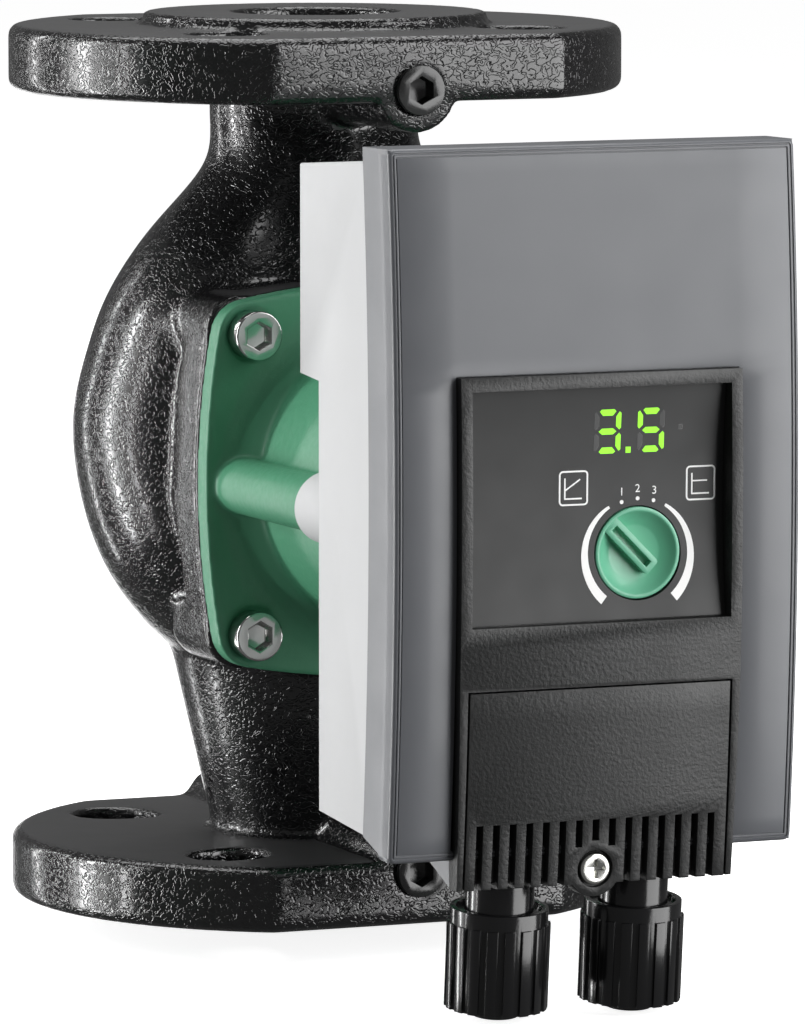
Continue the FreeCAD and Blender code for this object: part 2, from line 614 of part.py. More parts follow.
def make_rotor_parts():
    """Shaft, rotor, bearings, can and the plate between water and motor."""
    thrust_back = "rotor_back - thrust_length"
    turned("bearing_plate", [
        ("-clamp_back", "bearing_hub"), ("-clamp_back", "clamp_radius"),
        ("-clamp_front", "clamp_radius"), ("-clamp_front", "bearing_hub"),
        ("-hub_bearing_front", "bearing_hub"), ("-hub_bearing_front", "bearing_radius"),
        ("-hub_bearing_back", "bearing_radius"), ("-hub_bearing_back", "bearing_hub")])
    ring("housing_gasket", "clamp_radius", "opening_radius", "gasket_back", "clamp_back")
    ring("can_seal", "clamp_radius", "can_seal_inner", "can_rim_front", "seat_front")
    bore = "shaft_radius + running_gap"
    far_bearing = "can_front - far_bearing_length"
    ring("inner_bearing", "bearing_radius", bore, "hub_bearing_back", "hub_bearing_front")
    ring("outer_bearing", "bearing_radius", bore, far_bearing, "can_front - far_bearing_end")
    ring("thrust_washer", "thrust_radius", "shaft_radius", thrust_back, "rotor_back")
    wall = "can_front - can_wall"
    inner = "can_radius - can_wall"
    turned("rotor_can", [
        ("-clamp_front", inner), ("-clamp_front", "clamp_radius"),
        ("-can_rim_front", "clamp_radius"), ("-can_rim_front", "can_radius"),
        ("-can_front", "can_radius"), ("-can_front", "0"), ("-(%s)" % wall, "0"),
        ("-(%s)" % wall, "bearing_radius"), ("-(%s)" % far_bearing, "bearing_radius"),
        ("-(%s)" % far_bearing, "holder_radius"), ("-(%s)" % wall, "holder_radius"),
        ("-(%s)" % wall, inner)])
    turned("rotor_shaft", [
        ("-(can_front - 2)", "0"), ("-(can_front - 2)", "shaft_radius"),
        ("-shaft_step", "shaft_radius"), ("-shaft_step", "shaft_thread"),
        ("-shaft_back", "shaft_thread"), ("-shaft_back", "0")])
    back, front = "rotor_back + sleeve_wall", "rotor_front - sleeve_wall"
    ring("rotor_magnet", "rotor_radius - sleeve_wall", "shaft_radius", back, front)
    turned("rotor_sleeve", [
        ("-rotor_back", "shaft_radius"), ("-rotor_back", "rotor_radius"),
        ("-rotor_front", "rotor_radius"), ("-rotor_front", "shaft_radius"),
        ("-(%s)" % front, "shaft_radius"), ("-(%s)" % front, "rotor_radius - sleeve_wall"),
        ("-(%s)" % back, "rotor_radius - sleeve_wall"), ("-(%s)" % back, "shaft_radius")])
    ring("wear_ring", "eye_radius", "eye_radius - wear_ring_wall", "eye_back + 0.5",
         "chamber_back - 0.5")


def make_impeller():
    """Closed impeller: hub disc, eye ring and curved vanes between them."""
    body = new_body("impeller", z="motor_height")
    sketch = sketch_on(body, "YZ_Plane")
    add_outline(sketch, [
        ("-hub_front", "shaft_radius"), ("-hub_front", "impeller_radius"),
        ("-hub_rim", "impeller_radius"), ("-hub_cone", "hub_foot"),
        ("-shaft_step", "hub_radius"), ("-shaft_step", "shaft_radius")])
    revolve(body, sketch)
    sketch = sketch_on(body, "XZ_Plane", "vane_back")
    inner = Vector(0, 12, 0)
    outer = Vector(-28, -29.5, 0)
    middle = Vector(-24.5, -2, 0)
    thick = value("vane_thickness")
    vane = Part.Arc(inner, middle, outer)
    back = Part.Arc(inner + Vector(0, thick, 0), middle + Vector(-thick, 0.3, 0),
                    outer + Vector(-thick * 0.9, 0, 0))
    sketch.addGeometry(vane, False)
    sketch.addGeometry(Part.LineSegment(vane.EndPoint, back.EndPoint), False)
    sketch.addGeometry(back, False)
    sketch.addGeometry(Part.LineSegment(back.StartPoint, vane.StartPoint), False)
    first_vane = pad(body, sketch, "vane_width")
    repeat_round(body, first_vane, "vane_count", sketch)
    sketch = sketch_on(body, "YZ_Plane")
    add_outline(sketch, [
        ("-shroud_front", "impeller_radius"), ("-shroud_back", "impeller_radius"),
        ("-shroud_neck", "eye_radius"), ("-shroud_neck", "eye_radius - eye_gap"),
        ("-eye_ring_back", "eye_radius - eye_gap"), ("-eye_ring_back", "eye_radius - eye_inner"),
        ("-shroud_inner", "eye_radius - eye_inner")])
    revolve(body, sketch)
    return body


def make_impeller_nut():
    """Hexagon nut on the rear end of the shaft."""
    body = new_body("impeller_nut")
    sketch = sketch_on(body, "XZ_Plane", "nut_back")
    add_hexagon(sketch, "nut_across", "0", "motor_height")
    add_circle(sketch, "shaft_thread", "0", "motor_height")
    pad(body, sketch, "nut_height")
    return body


def make_stator():
    """Laminated core, its winding with both end turns, and the insulating end rings."""
    body = new_body("stator_core", z="motor_height")
    sketch = sketch_on(body, "XZ_Plane", "core_back")
    add_circle(sketch, "stator_radius - 0.1")
    add_circle(sketch, "can_radius + 0.2")
    pad(body, sketch, "core_front - core_back")
    sketch = sketch_on(body, "XZ_Plane", "core_front")
    add_outline(sketch, [
        ("-slot_mouth", "tooth_root"), ("slot_mouth", "tooth_root"), ("slot_mouth", "26.6"),
        ("3.6", "27.6"), ("4.2", "32.6"), ("-4.2", "32.6"), ("-3.6", "27.6"),
        ("-slot_mouth", "26.6")])
    slot = pocket(body, sketch, "core_front - core_back")
    repeat_round(body, slot, "slot_count", sketch, adds=False)
    coil = new_body("stator_winding", z="motor_height")
    end_back = "core_back - insulator_thickness - coil_length"
    for back in (end_back, "core_front + insulator_thickness"):
        sketch = sketch_on(coil, "XZ_Plane", back)
        add_circle(sketch, "coil_outer")
        add_circle(sketch, "coil_inner")
        pad(coil, sketch, "coil_length")
    sketch = sketch_on(coil, "XZ_Plane", "core_back - coil_overhang")
    add_outline(sketch, [("-3.1", "28.3"), ("3.1", "28.3"), ("3.6", "32"), ("-3.6", "32")])
    bar = pad(coil, sketch, "core_front - core_back + 2 * coil_overhang")
    repeat_round(coil, bar, "slot_count", sketch)
    group("end_insulators", ["core_back - insulator_thickness", "core_front"], insulator_ring)


def insulator_ring(name, back):
    """Insulating ring on one face of the stator core, with a window for each coil."""
    body = new_body(name, z="motor_height")
    sketch = sketch_on(body, "XZ_Plane", back)
    add_circle(sketch, "insulator_radius")
    add_circle(sketch, "can_radius + 0.4")
    pad(body, sketch, "insulator_thickness")
    sketch = sketch_on(body, "XZ_Plane", "%s + insulator_thickness" % back)
    add_outline(sketch, [("-3.3", "28.1"), ("3.3", "28.1"), ("3.8", "32.2"), ("-3.8", "32.2")])
    opening = pocket(body, sketch, "insulator_thickness")
    repeat_round(body, opening, "slot_count", sketch, adds=False)
    return body


def make_stator_plug():
    """Plug that carries the winding's leads through the nose into the module."""
    half = "cable_slot_x - 0.5"
    low = "cable_slot_low + 0.5"
    body = block("stator_plug", "-(%s)" % half, half, "can_front + 0.3", "nose_front + 6", low,
                 "cable_slot_high - 0.5")
    sketch = sketch_on(body, "XZ_Plane", "can_front + 0.3")
    add_box_outline(sketch, "-(%s)" % half, half, low, "cable_slot_high + 7")
    pad(body, sketch, "2")
    for x in ("-5", "0", "5"):
        disc_pad(body, "1", x, "cable_slot_high + 5", "core_front + 6.2", "can_front + 0.4")
    return body


# ---------------------------------------------------------------- control module shells
def side_profile(body, corners):
    """A sketch in the side plane; corners are (distance in front, height[, radius])."""
    sketch = sketch_on(body, "YZ_Plane")
    add_outline(sketch, [("-(%s)" % corner[0],) + tuple(corner[1:]) for corner in corners])
    return sketch


def joint_at(height):
    """Distance in front of the pipe axis of the joint between the module's halves."""
    return "(joint_front - joint_arc + sqrt(joint_arc^2 - (%s - joint_mid)^2))" % height


def window(body, x0, x1, z0, z1, y_back, y_front):
    """Cut a rectangular opening along Y."""
    sketch = sketch_on(body, "XZ_Plane", y_front)
    add_box_outline(sketch, x0, x1, z0, z1)
    return pocket(body, sketch, "(%s) - (%s)" % (y_front, y_back))


def make_module_housing():
    """Grey rear half of the control module, deeper over the motor barrel."""
    body = new_body("module_housing")
    wall = "module_wall"
    sketch = side_profile(body, [
        (joint_at("module_top"), "module_top"), ("module_rear_high", "module_rear_top"),
        ("module_rear_high", "module_step"), ("module_rear_low", "module_step - 1"),
        ("module_rear_low", "module_bottom + 2.4"),
        (joint_at("module_bottom"), "module_bottom", "joint_arc")])
    pad(body, sketch, "2 * module_half_width", both=True)
    round_edges(body, "module_round", lambda edge: long_rear_edge(edge))
    high = "module_top - %s" % wall
    low = "module_bottom + %s" % wall
    sketch = side_profile(body, [
        ("joint_front + 6", high), (joint_at("module_top"), high),
        ("module_rear_high + %s" % wall, "module_rear_top - %s" % wall),
        ("module_rear_high + %s" % wall, "module_step + %s" % wall),
        ("module_rear_low + %s" % wall, "module_step - 1 + %s" % wall),
        ("module_rear_low + %s" % wall, low + " + 2.4"), (joint_at("module_bottom"), low),
        ("joint_front + 6", low)])
    pocket(body, sketch, "2 * (module_half_width - %s)" % wall, both=True)
    for side in ("", "-"):
        x = side + "side_boss_x"
        disc_pad(body, "module_boss", x, "motor_height", "side_boss_front", "module_rear_low + 1")
        disc_pocket(body, "screw_clear", x, "motor_height", "side_boss_front", "module_rear_low + 5")
    window(body, "-cable_slot_x", "cable_slot_x", "cable_slot_low", "cable_slot_high",
           "module_rear_low - 1", "module_rear_low + 5")
    return body


def long_rear_edge(edge):
    """True for the rear housing's upright corners and its upper step."""
    box = edge.BoundBox
    upright = box.ZLength > 20 and box.YLength < 1 and box.YMin > -value("joint_front") + 8
    top = box.YLength > 20 and abs(box.XLength) < 1e-3 and box.ZMin > value("module_top") - 8
    return upright or top


def make_front_cover():
    """Grey front half of the module with a bulged face and a chin for the cable glands."""
    body = new_body("front_cover")
    wall = "cover_wall"
    sketch = side_profile(body, [
        (joint_at("cover_back_top"), "cover_back_top", "-joint_arc"),
        (joint_at("module_bottom"), "module_bottom"),
        ("cover_end", "cover_bottom", "cover_arc"), ("cover_end", "cover_top")])
    pad(body, sketch, "2 * cover_half_width", both=True)
    round_edges(body, "cover_round", lambda edge: edge.BoundBox.YMax < -value("cover_end") + 0.01)
    sketch = side_profile(body, [
        ("chin_front", "cover_bottom + 3"), ("chin_front", "panel_bottom + 0.4"),
        ("chin_back", "cover_bottom + 2.4"), ("chin_back", "module_bottom + 0.8"),
        (joint_at("module_bottom"), "module_bottom"), ("joint_front - 3.5", "cover_bottom + 5")])
    pad(body, sketch, "2 * chin_half_width", both=True)
    disc_pad(body, "screw_lug", "0", "lid_screw_z", "chin_front - 11", "chin_front")
    inner = "cover_end - %s" % wall
    sketch = side_profile(body, [
        ("joint_front - 12", "module_top + 0.1"),
        ("joint_front - 12", "cover_bottom + 5 + %s" % wall),
        (inner, "cover_bottom + 1 + %s" % wall, "cover_arc - cover_wall"),
        (inner, "module_top + 0.1")])
    pocket(body, sketch, "2 * (cover_half_width - %s)" % wall, both=True)
    wide = "panel_half_width + 0.1"
    window(body, "-(%s)" % wide, wide, "panel_bottom - 4", "panel_top + 0.1", "chin_front",
           "cover_end + 8")
    window(body, "-wire_half_width", "wire_half_width", "cover_bottom - 0.4", "cover_bottom + 9",
           "joint_front - 2.5", "chin_front + 1")
    disc_pad(body, "screw_lug", "0", "lid_screw_z", "chin_front - 8", "chin_front")
    disc_pocket(body, "lid_screw_clear", "0", "lid_screw_z", "chin_front - 9", "chin_front")
    for side in ("", "-"):
        sketch = sketch_on(body, "XY_Plane", "cover_bottom + 5.5")
        add_circle(sketch, "neck_radius + 0.4", side + "gland_x", "-(gland_y + 1)")
        pocket(body, sketch, "16")
    return body


def make_module_seal():
    """Rubber frame inside the joint between the two halves of the module."""
    body = new_body("module_seal")
    inside = "module_half_width - module_wall"
    low, high = "module_bottom + cover_wall + 4.2", "module_top - module_wall - 1"
    sketch = sketch_on(body, "XZ_Plane", "joint_front - 5.5")
    add_box_outline(sketch, "-(%s)" % inside, inside, low, high)
    add_box_outline(sketch, "-(%s - 1.4)" % inside, "%s - 1.4" % inside, low + " + 1.4",
                    high + " - 1.4")
    pad(body, sketch, "4")
    return body


def module_screw(name, side):
    """Socket screw through the module's boss into the motor's side boss."""
    body = new_body(name)
    x = side + "side_boss_x"
    floor = "module_rear_low + module_wall"
    disc_pad(body, "screw_radius", x, "motor_height", "screw_tip", floor)
    disc_pad(body, "screw_head", x, "motor_height", floor, floor + " + 4")
    sketch = sketch_on(body, "XZ_Plane", floor + " + 4")
    add_hexagon(sketch, "4", x, "motor_height")
    pocket(body, sketch, "2.5")
    return body


# ---------------------------------------------------------------- electronics
BOARD = "power_board_back + board_thickness"
CAPACITOR_PLACES = [(x, "capacitor_z") for x in ("-capacitor_pitch", "0", "capacitor_pitch")]
PILLAR_PLACES = [(x, z) for z in ("pillar_high", "pillar_low")
                 for x in ("pillar_left", "pillar_right")]


def make_electronics():
    """Power board with its components, display board, encoder and terminal block."""
    floor = "module_rear_low + module_wall"
    sink_front = floor + " + sink_height"
    block("heat_sink", "-sink_half", "sink_half", floor, sink_front, "sink_low", "sink_high")
    block("power_module", "-power_half", "power_half", sink_front, "power_board_back",
          "power_low", "power_high")
    block("circuit_board", "-power_board_half", "power_board_half", "power_board_back", BOARD,
          "power_board_low", "power_board_high")
    group("capacitors", CAPACITOR_PLACES, capacitor)
    choke_front = BOARD + " + choke_height"
    choke = turned("line_choke", [
        ("-(%s)" % BOARD, "choke_bore"), ("-(%s)" % BOARD, "choke_radius"),
        ("-(%s)" % choke_front, "choke_radius"), ("-(%s)" % choke_front, "choke_bore")])
    bind(choke, ".Placement.Base.x", "-choke_x")
    bind(choke, ".Placement.Base.z", "choke_z")
    make_display()
    make_terminal_block()


def make_display():
    """Display board on its pillars, with the digits and the knob's encoder."""
    board_back = "board_front - board_thickness"
    board = block("display_board", "display_left", "display_right", board_back, "board_front",
                  "display_low", "display_high")
    disc_pocket(board, "spindle_radius + 0.6", "knob_x", "knob_z", "board_front - 3",
                "board_front")
    group("board_pillars", PILLAR_PLACES, pillar)
    block("digit_display", "digits_left + window_gap", "digits_right - window_gap",
          "board_front", "digit_front", "digits_low", "digits_high")
    encoder = block("encoder", "knob_x - encoder_half", "knob_x + encoder_half",
                    "board_front - 9", board_back, "knob_z - encoder_half",
                    "knob_z + encoder_half")
    disc_pocket(encoder, "spindle_radius + running_gap", "knob_x", "knob_z", "board_front - 8",
                "board_front - 1")


def capacitor(name, place):
    """Electrolytic can behind the power board."""
    x, z = place
    body = new_body(name)
    disc_pad(body, "capacitor_radius", x, z, "capacitor_back", "power_board_back")
    return body


def pillar(name, place):
    """Spacer between the power board and the display board."""
    x, z = place
    body = new_body(name)
    disc_pad(body, "pillar_radius", x, z, BOARD, "board_front - board_thickness")
    return body


def repeat_poles(body, feature, sketch):
    """Repeat a terminal's hole along the block."""
    pattern = body.newObject("PartDesign::LinearPattern", body.Name + "_row")
    pattern.Originals = [feature]
    pattern.Direction = (sketch, ["H_Axis"])
    bind(pattern, "Length", "2 * pole_first")
    bind(pattern, "Occurrences", "pole_count")
    body.Tip = pattern
    return finish_feature(body, pattern, False)


def make_terminal_block():
    """Row of screw terminals behind the removable lid."""
    body = block("terminal_block", "-block_half", "block_half", BOARD, "block_front",
                 "block_low", "block_high")
    sketch = sketch_on(body, "XZ_Plane", "block_front")
    add_circle(sketch, "pole_radius", "-pole_first", "pole_z")
    repeat_poles(body, pocket(body, sketch, "pole_depth"), sketch)
    sketch = sketch_on(body, "XY_Plane", "block_low")
    add_circle(sketch, "entry_radius", "-pole_first", "-pole_y")
    repeat_poles(body, pocket(body, sketch, "entry_depth", reverse=True), sketch)
    return body


# ---------------------------------------------------------------- control panel
def panel_front_at(height):
    """Distance in front of the pipe axis of the panel's bulged front at a height."""
    return ("(panel_arc_front - panel_arc + sqrt(panel_arc^2 - (%s - cover_mid)^2))" % height)


def trim_front(body, set_back, low, high):
    """Cut away all that stands in front of the panel's bulge, set back by a distance."""
    sketch = side_profile(body, [
        ("panel_arc_front + 20", low), (panel_front_at(low) + set_back, low, "panel_arc"),
        (panel_front_at(high) + set_back, high), ("panel_arc_front + 20", high)])
    return pocket(body, sketch, "2 * cover_half_width", both=True)


def make_control_panel():
    """Black panel on the cover: bulged frame, concave recess and two foot strips."""
    body = new_body("control_panel")
    sketch = sketch_on(body, "XZ_Plane", "panel_back")
    add_outline(sketch, [
        ("-panel_half_width", "panel_bar"), ("-panel_foot_half_width", "panel_bottom"),
        ("panel_foot_half_width", "panel_bottom"), ("panel_half_width", "panel_bar"),
        ("panel_half_width", "panel_top"), ("-panel_half_width", "panel_top")])
    pad(body, sketch, "panel_arc_front - panel_back + 1")
    trim_front(body, "", "panel_bottom - 2", "panel_top + 2")
    sketch = side_profile(body, [
        ("panel_arc_front + 5", "recess_bottom"), ("recess_end", "recess_bottom", "-recess_arc"),
        ("recess_end", "recess_top"), ("panel_arc_front + 5", "recess_top")])
    pocket(body, sketch, "2 * recess_half_width", both=True)
    window(body, "-strip_inner", "strip_inner", "panel_bottom - 1", "lid_top + 0.4",
           "panel_back - 1", "panel_arc_front + 1")
    disc_pocket(body, "knob_hole", "knob_x", "knob_z", "panel_back - 1", "panel_arc_front + 1")
    window(body, "digits_left", "digits_right", "digits_low", "digits_high", "panel_back - 1",
           "panel_arc_front + 1")
    return body


def make_panel_foil():
    """Printed foil on the recess floor, with the knob's round hole."""
    body = new_body("panel_foil")
    inner = "recess_end"
    sketch = side_profile(body, [
        (inner, "recess_bottom + 0.3", "-recess_arc"), (inner, "recess_top - 0.3"),
        (inner + " + foil_thickness", "recess_top - 0.3", "recess_arc"),
        (inner + " + foil_thickness", "recess_bottom + 0.3")])
    pad(body, sketch, "2 * recess_half_width - 0.6", both=True)
    disc_pocket(body, "knob_hole", "knob_x", "knob_z", "panel_back", "panel_arc_front")
    return body


def make_control_knob():
    """Dished knob with a slotted pointer ridge and its spindle."""
    body = new_body("control_knob")
    back = "knob_front - knob_depth"
    disc_pad(body, "knob_radius", "knob_x", "knob_z", back, "knob_front")
    sketch = sketch_on(body, "XZ_Plane", "knob_front")
    add_circle(sketch, "knob_radius - 1.5", "knob_x", "knob_z")
    pocket(body, sketch, "knob_dish")
    disc_pad(body, "spindle_radius", "knob_x", "knob_z", "board_front - 7.5", back)
    sketch = sketch_on(body, "XZ_Plane", "knob_front - knob_dish - 0.2")
    add_ridge(sketch, "2.1", "9.6", "5.2")
    pad(body, sketch, "knob_dish + 0.2")
    sketch = sketch_on(body, "XZ_Plane", "knob_front")
    add_ridge(sketch, "0.85", "8.4", "4")
    pocket(body, sketch, "knob_dish - 0.4")
    return body


def add_ridge(sketch, half, ahead, behind):
    """A bar along the knob's pointer, from behind its centre to ahead of it."""
    corners = []
    for along, across in ((ahead, half), (ahead, "-" + half), ("-" + behind, "-" + half),
                          ("-" + behind, half)):
        x = "knob_x - sin(knob_angle) * (%s) + cos(knob_angle) * (%s)" % (along, across)
        z = "knob_z + cos(knob_angle) * (%s) + sin(knob_angle) * (%s)" % (along, across)
        corners.append((x, z))
    add_outline(sketch, corners)


# ---------------------------------------------------------------- terminal lid
# The gaps between the lid's ribs, numbered from the left, that run past the screw boss.
OUTER_GAPS = (0, 1, 2, 3, 4, 5, 9, 10, 11, 12, 13, 14)


def make_terminal_lid():
    """Removable lid: smooth plate above, upright ribs and screw boss below."""
    body = new_body("terminal_lid")
    sketch = sketch_on(body, "XZ_Plane", "lid_back")
    add_box_outline(sketch, "-lid_half_width", "lid_half_width", "lid_bottom", "lid_top")
    pad(body, sketch, "panel_arc_front - lid_back + 1")
    disc_pad(body, "lid_boss", "0", "lid_screw_z", "lid_back", "panel_arc_front + 1")
    trim_front(body, "", "lid_bottom - lid_boss", "lid_top + 2")
    sketch = side_profile(body, [
        ("lid_back - 1", "lid_step + 2"),
        (panel_front_at("lid_step + 2") + " - lid_thickness", "lid_step + 2", "panel_arc"),
        (panel_front_at("lid_top - 2.5") + " - lid_thickness", "lid_top - 2.5"),
        ("lid_back - 1", "lid_top - 2.5")])
    pocket(body, sketch, "2 * (lid_half_width - 2.5)", both=True)
    sketch = sketch_on(body, "XZ_Plane", "panel_arc_front + 1")
    left = "rib_pitch - rib_gap - lid_half_width"
    for low, high, numbers in (("lid_bottom - 1", "lid_step", OUTER_GAPS),
                               ("lid_screw_z + 5.2", "lid_step", (6, 8)),
                               ("lid_screw_z + 6.6", "lid_step", (7,))):
        for number in numbers:
            start = "%s + %d * rib_pitch" % (left, number)
            add_box_outline(sketch, start, start + " + rib_gap", low, high)
    pocket(body, sketch, "panel_arc_front + 1 - rib_floor")
    sketch = sketch_on(body, "XZ_Plane", "panel_arc_front + 1")
    for number in OUTER_GAPS:
        start = "%s + %d * rib_pitch" % (left, number)
        add_box_outline(sketch, start, start + " + rib_gap", "lid_bottom - 1", "lid_bottom + 1.6")
    pocket(body, sketch, "panel_arc_front + 2 - lid_back")
    disc_pocket(body, "lid_screw_hole", "0", "lid_screw_z", "lid_screw_front - 2.3",
                "panel_arc_front + 1")
    disc_pocket(body, "lid_screw_clear", "0", "lid_screw_z", "lid_back - 1", "lid_screw_front - 2")
    return body


def make_lid_screw():
    """Captive pan-head screw of the lid, with a cross slot."""
    body = new_body("lid_screw")
    disc_pad(body, "lid_screw_head", "0", "lid_screw_z", "lid_screw_front - 2.1", "lid_screw_front")
    disc_pad(body, "lid_screw_radius", "0", "lid_screw_z", "lid_screw_front - 13",
             "lid_screw_front - 2.1")
    round_edges(body, "0.7", lambda edge: front_rim(edge))
    for half_x, half_z in (("2.2", "0.4"), ("0.4", "2.2")):
        sketch = sketch_on(body, "XZ_Plane", "lid_screw_front")
        add_box_outline(sketch, "-" + half_x, half_x, "lid_screw_z - " + half_z,
                        "lid_screw_z + " + half_z)
        pocket(body, sketch, "1.3")
    return body


def front_rim(edge):
    """True for the round edge at the front of the lid screw's head."""
    front = -value("lid_screw_front")
    return abs(edge.BoundBox.YMin - front) < 1e-3 and edge.BoundBox.YLength < 1e-3


# ---------------------------------------------------------------- cable glands
def gland_piece(name, side, corners):
    """A turned gland piece; corners are (radius, distance down the gland's axis)."""
    body = new_body(name, side + "gland_x", "-gland_y", "gland_z")
    body.Placement.Rotation = FreeCAD.Rotation(Vector(1, 0, 0), value("gland_tilt"))
    bind(body, ".Placement.Rotation.Angle", "gland_tilt")
    sketch = sketch_on(body, "XZ_Plane")
    add_outline(sketch, [(radius, "-(%s)" % down) for radius, down in corners])
    revolve(body, sketch, axis="V_Axis")
    return body


def make_gland(word, side):
    """One cable gland: body, rubber seal and ribbed nut."""
    gland_piece("gland_body_" + word, side, [
        ("gland_bore", "-neck_length"), ("neck_radius", "-neck_length"), ("neck_radius", "0.8"),
        ("thread_radius", "0.8"), ("thread_radius", "thread_length"),
        ("gland_bore", "thread_length")])
    gland_piece("gland_seal_" + word, side, [
        ("seal_bore", "6"), ("seal_radius", "6"), ("seal_radius", "18"), ("seal_bore", "18")])
    nut = gland_piece("gland_nut_" + word, side, [
        ("thread_radius + running_gap", "0"), ("nut_collar", "0"), ("nut_collar", "nut_length"),
        ("tip_radius", "nut_length"), ("tip_radius", "nut_length + tip_length"),
        ("nut_mouth", "nut_length + tip_length"), ("nut_mouth", "18.4"), ("8", "18.4"),
        ("8", "16.5"), ("thread_radius + running_gap", "15")])
    sketch = sketch_on(nut, "XY_Plane", "-nut_length")
    half = "nut_rib_width / 2"
    add_box_outline(sketch, "nut_collar - 0.8", "nut_radius", "-(%s)" % half, half)
    rib = pad(nut, sketch, "nut_length - nut_collar_length")
    repeat_round(nut, rib, "nut_ribs", sketch)
    return nut


# ---------------------------------------------------------------- write the files
def check_and_export():
    """Refuse any failed or empty object, then write one STEP file per sub-part."""
    doc.recompute()
    for thing in doc.Objects:
        if "Invalid" in thing.State or "Error" in thing.State:
            raise RuntimeError("failed object: " + thing.Label)
    os.makedirs("parts", exist_ok=True)
    for node in PARTS:
        shape = node.Shape
        if shape.isNull() or not shape.isValid() or shape.Volume <= 0:
            raise RuntimeError("bad shape: " + node.Label)
        shape.exportStep(os.path.join("parts", node.Label + ".step"))
        print("%-22s %2d solids %10.1f mm3" % (node.Label, len(shape.Solids), shape.Volume))


make_pump_housing()
group("gauge_plugs", GAUGE_PLACES, gauge_plug)
group("gauge_seals", GAUGE_PLACES, gauge_seal)
make_motor_housing()
group("motor_bolts", BOLT_PLACES, motor_bolt)
make_rotor_parts()
make_impeller()
make_impeller_nut()
make_stator()
make_stator_plug()
make_module_housing()
make_front_cover()
make_module_seal()
group("module_screws", ["", "-"], module_screw)
make_electronics()
make_control_panel()
make_panel_foil()
make_control_knob()
make_terminal_lid()
make_lid_screw()
make_gland("left", "-")
make_gland("right", "")
check_and_export()
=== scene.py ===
"""Looks of a flanged heating circulator pump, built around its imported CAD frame."""
import bmesh
import bpy
import json
import math
import numpy as np
from mathutils import Matrix, Vector


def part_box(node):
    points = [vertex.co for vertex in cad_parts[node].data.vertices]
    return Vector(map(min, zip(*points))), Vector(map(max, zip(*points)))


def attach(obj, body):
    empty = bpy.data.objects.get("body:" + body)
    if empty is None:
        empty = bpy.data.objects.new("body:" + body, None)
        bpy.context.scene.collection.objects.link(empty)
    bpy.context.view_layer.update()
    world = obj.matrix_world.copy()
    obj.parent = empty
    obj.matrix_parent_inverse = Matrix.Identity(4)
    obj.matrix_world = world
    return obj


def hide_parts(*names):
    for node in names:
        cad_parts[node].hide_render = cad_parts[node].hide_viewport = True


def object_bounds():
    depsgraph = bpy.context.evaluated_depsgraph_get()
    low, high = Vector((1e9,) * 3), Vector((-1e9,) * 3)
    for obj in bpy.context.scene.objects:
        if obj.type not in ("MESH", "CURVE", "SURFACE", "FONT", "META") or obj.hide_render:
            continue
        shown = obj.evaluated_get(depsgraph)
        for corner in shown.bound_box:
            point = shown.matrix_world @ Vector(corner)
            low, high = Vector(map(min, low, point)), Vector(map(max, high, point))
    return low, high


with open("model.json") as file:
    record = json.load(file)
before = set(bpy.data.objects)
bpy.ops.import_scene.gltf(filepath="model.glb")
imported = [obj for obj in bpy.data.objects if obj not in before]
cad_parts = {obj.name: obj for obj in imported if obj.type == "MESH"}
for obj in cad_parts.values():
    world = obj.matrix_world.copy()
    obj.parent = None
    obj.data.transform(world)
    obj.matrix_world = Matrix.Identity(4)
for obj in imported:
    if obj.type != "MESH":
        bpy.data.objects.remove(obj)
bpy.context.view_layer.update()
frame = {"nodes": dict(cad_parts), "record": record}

# Lengths below are millimetres, in the CAD's frame: Z runs along the pipe, the front faces -Y.
MM = 0.001
PORT_TO_PORT = 220.0
MOTOR_AXIS = (0.0, 110.0)
SLOT_OF = {row["node"]: row["material_slot"] for row in frame["record"]["subparts"]}
BODY_OF = {node: body for body, members in frame["record"]["behaviour"]["bodies"].items()
           for node in members}


# ---------------------------------------------------------------- materials
COAT_ROUGH = 0.1
CASTING_WRINKLE = {"scale": 520, "depth": 0.07, "fold": 0.11, "stretch": (1, 1, 1.35)}
CASTING_GRAIN = {"scale": 2600, "share": 0.05}
CASTING_WAVE = {"scale": 55, "depth": 0.2, "strength": 0.4}


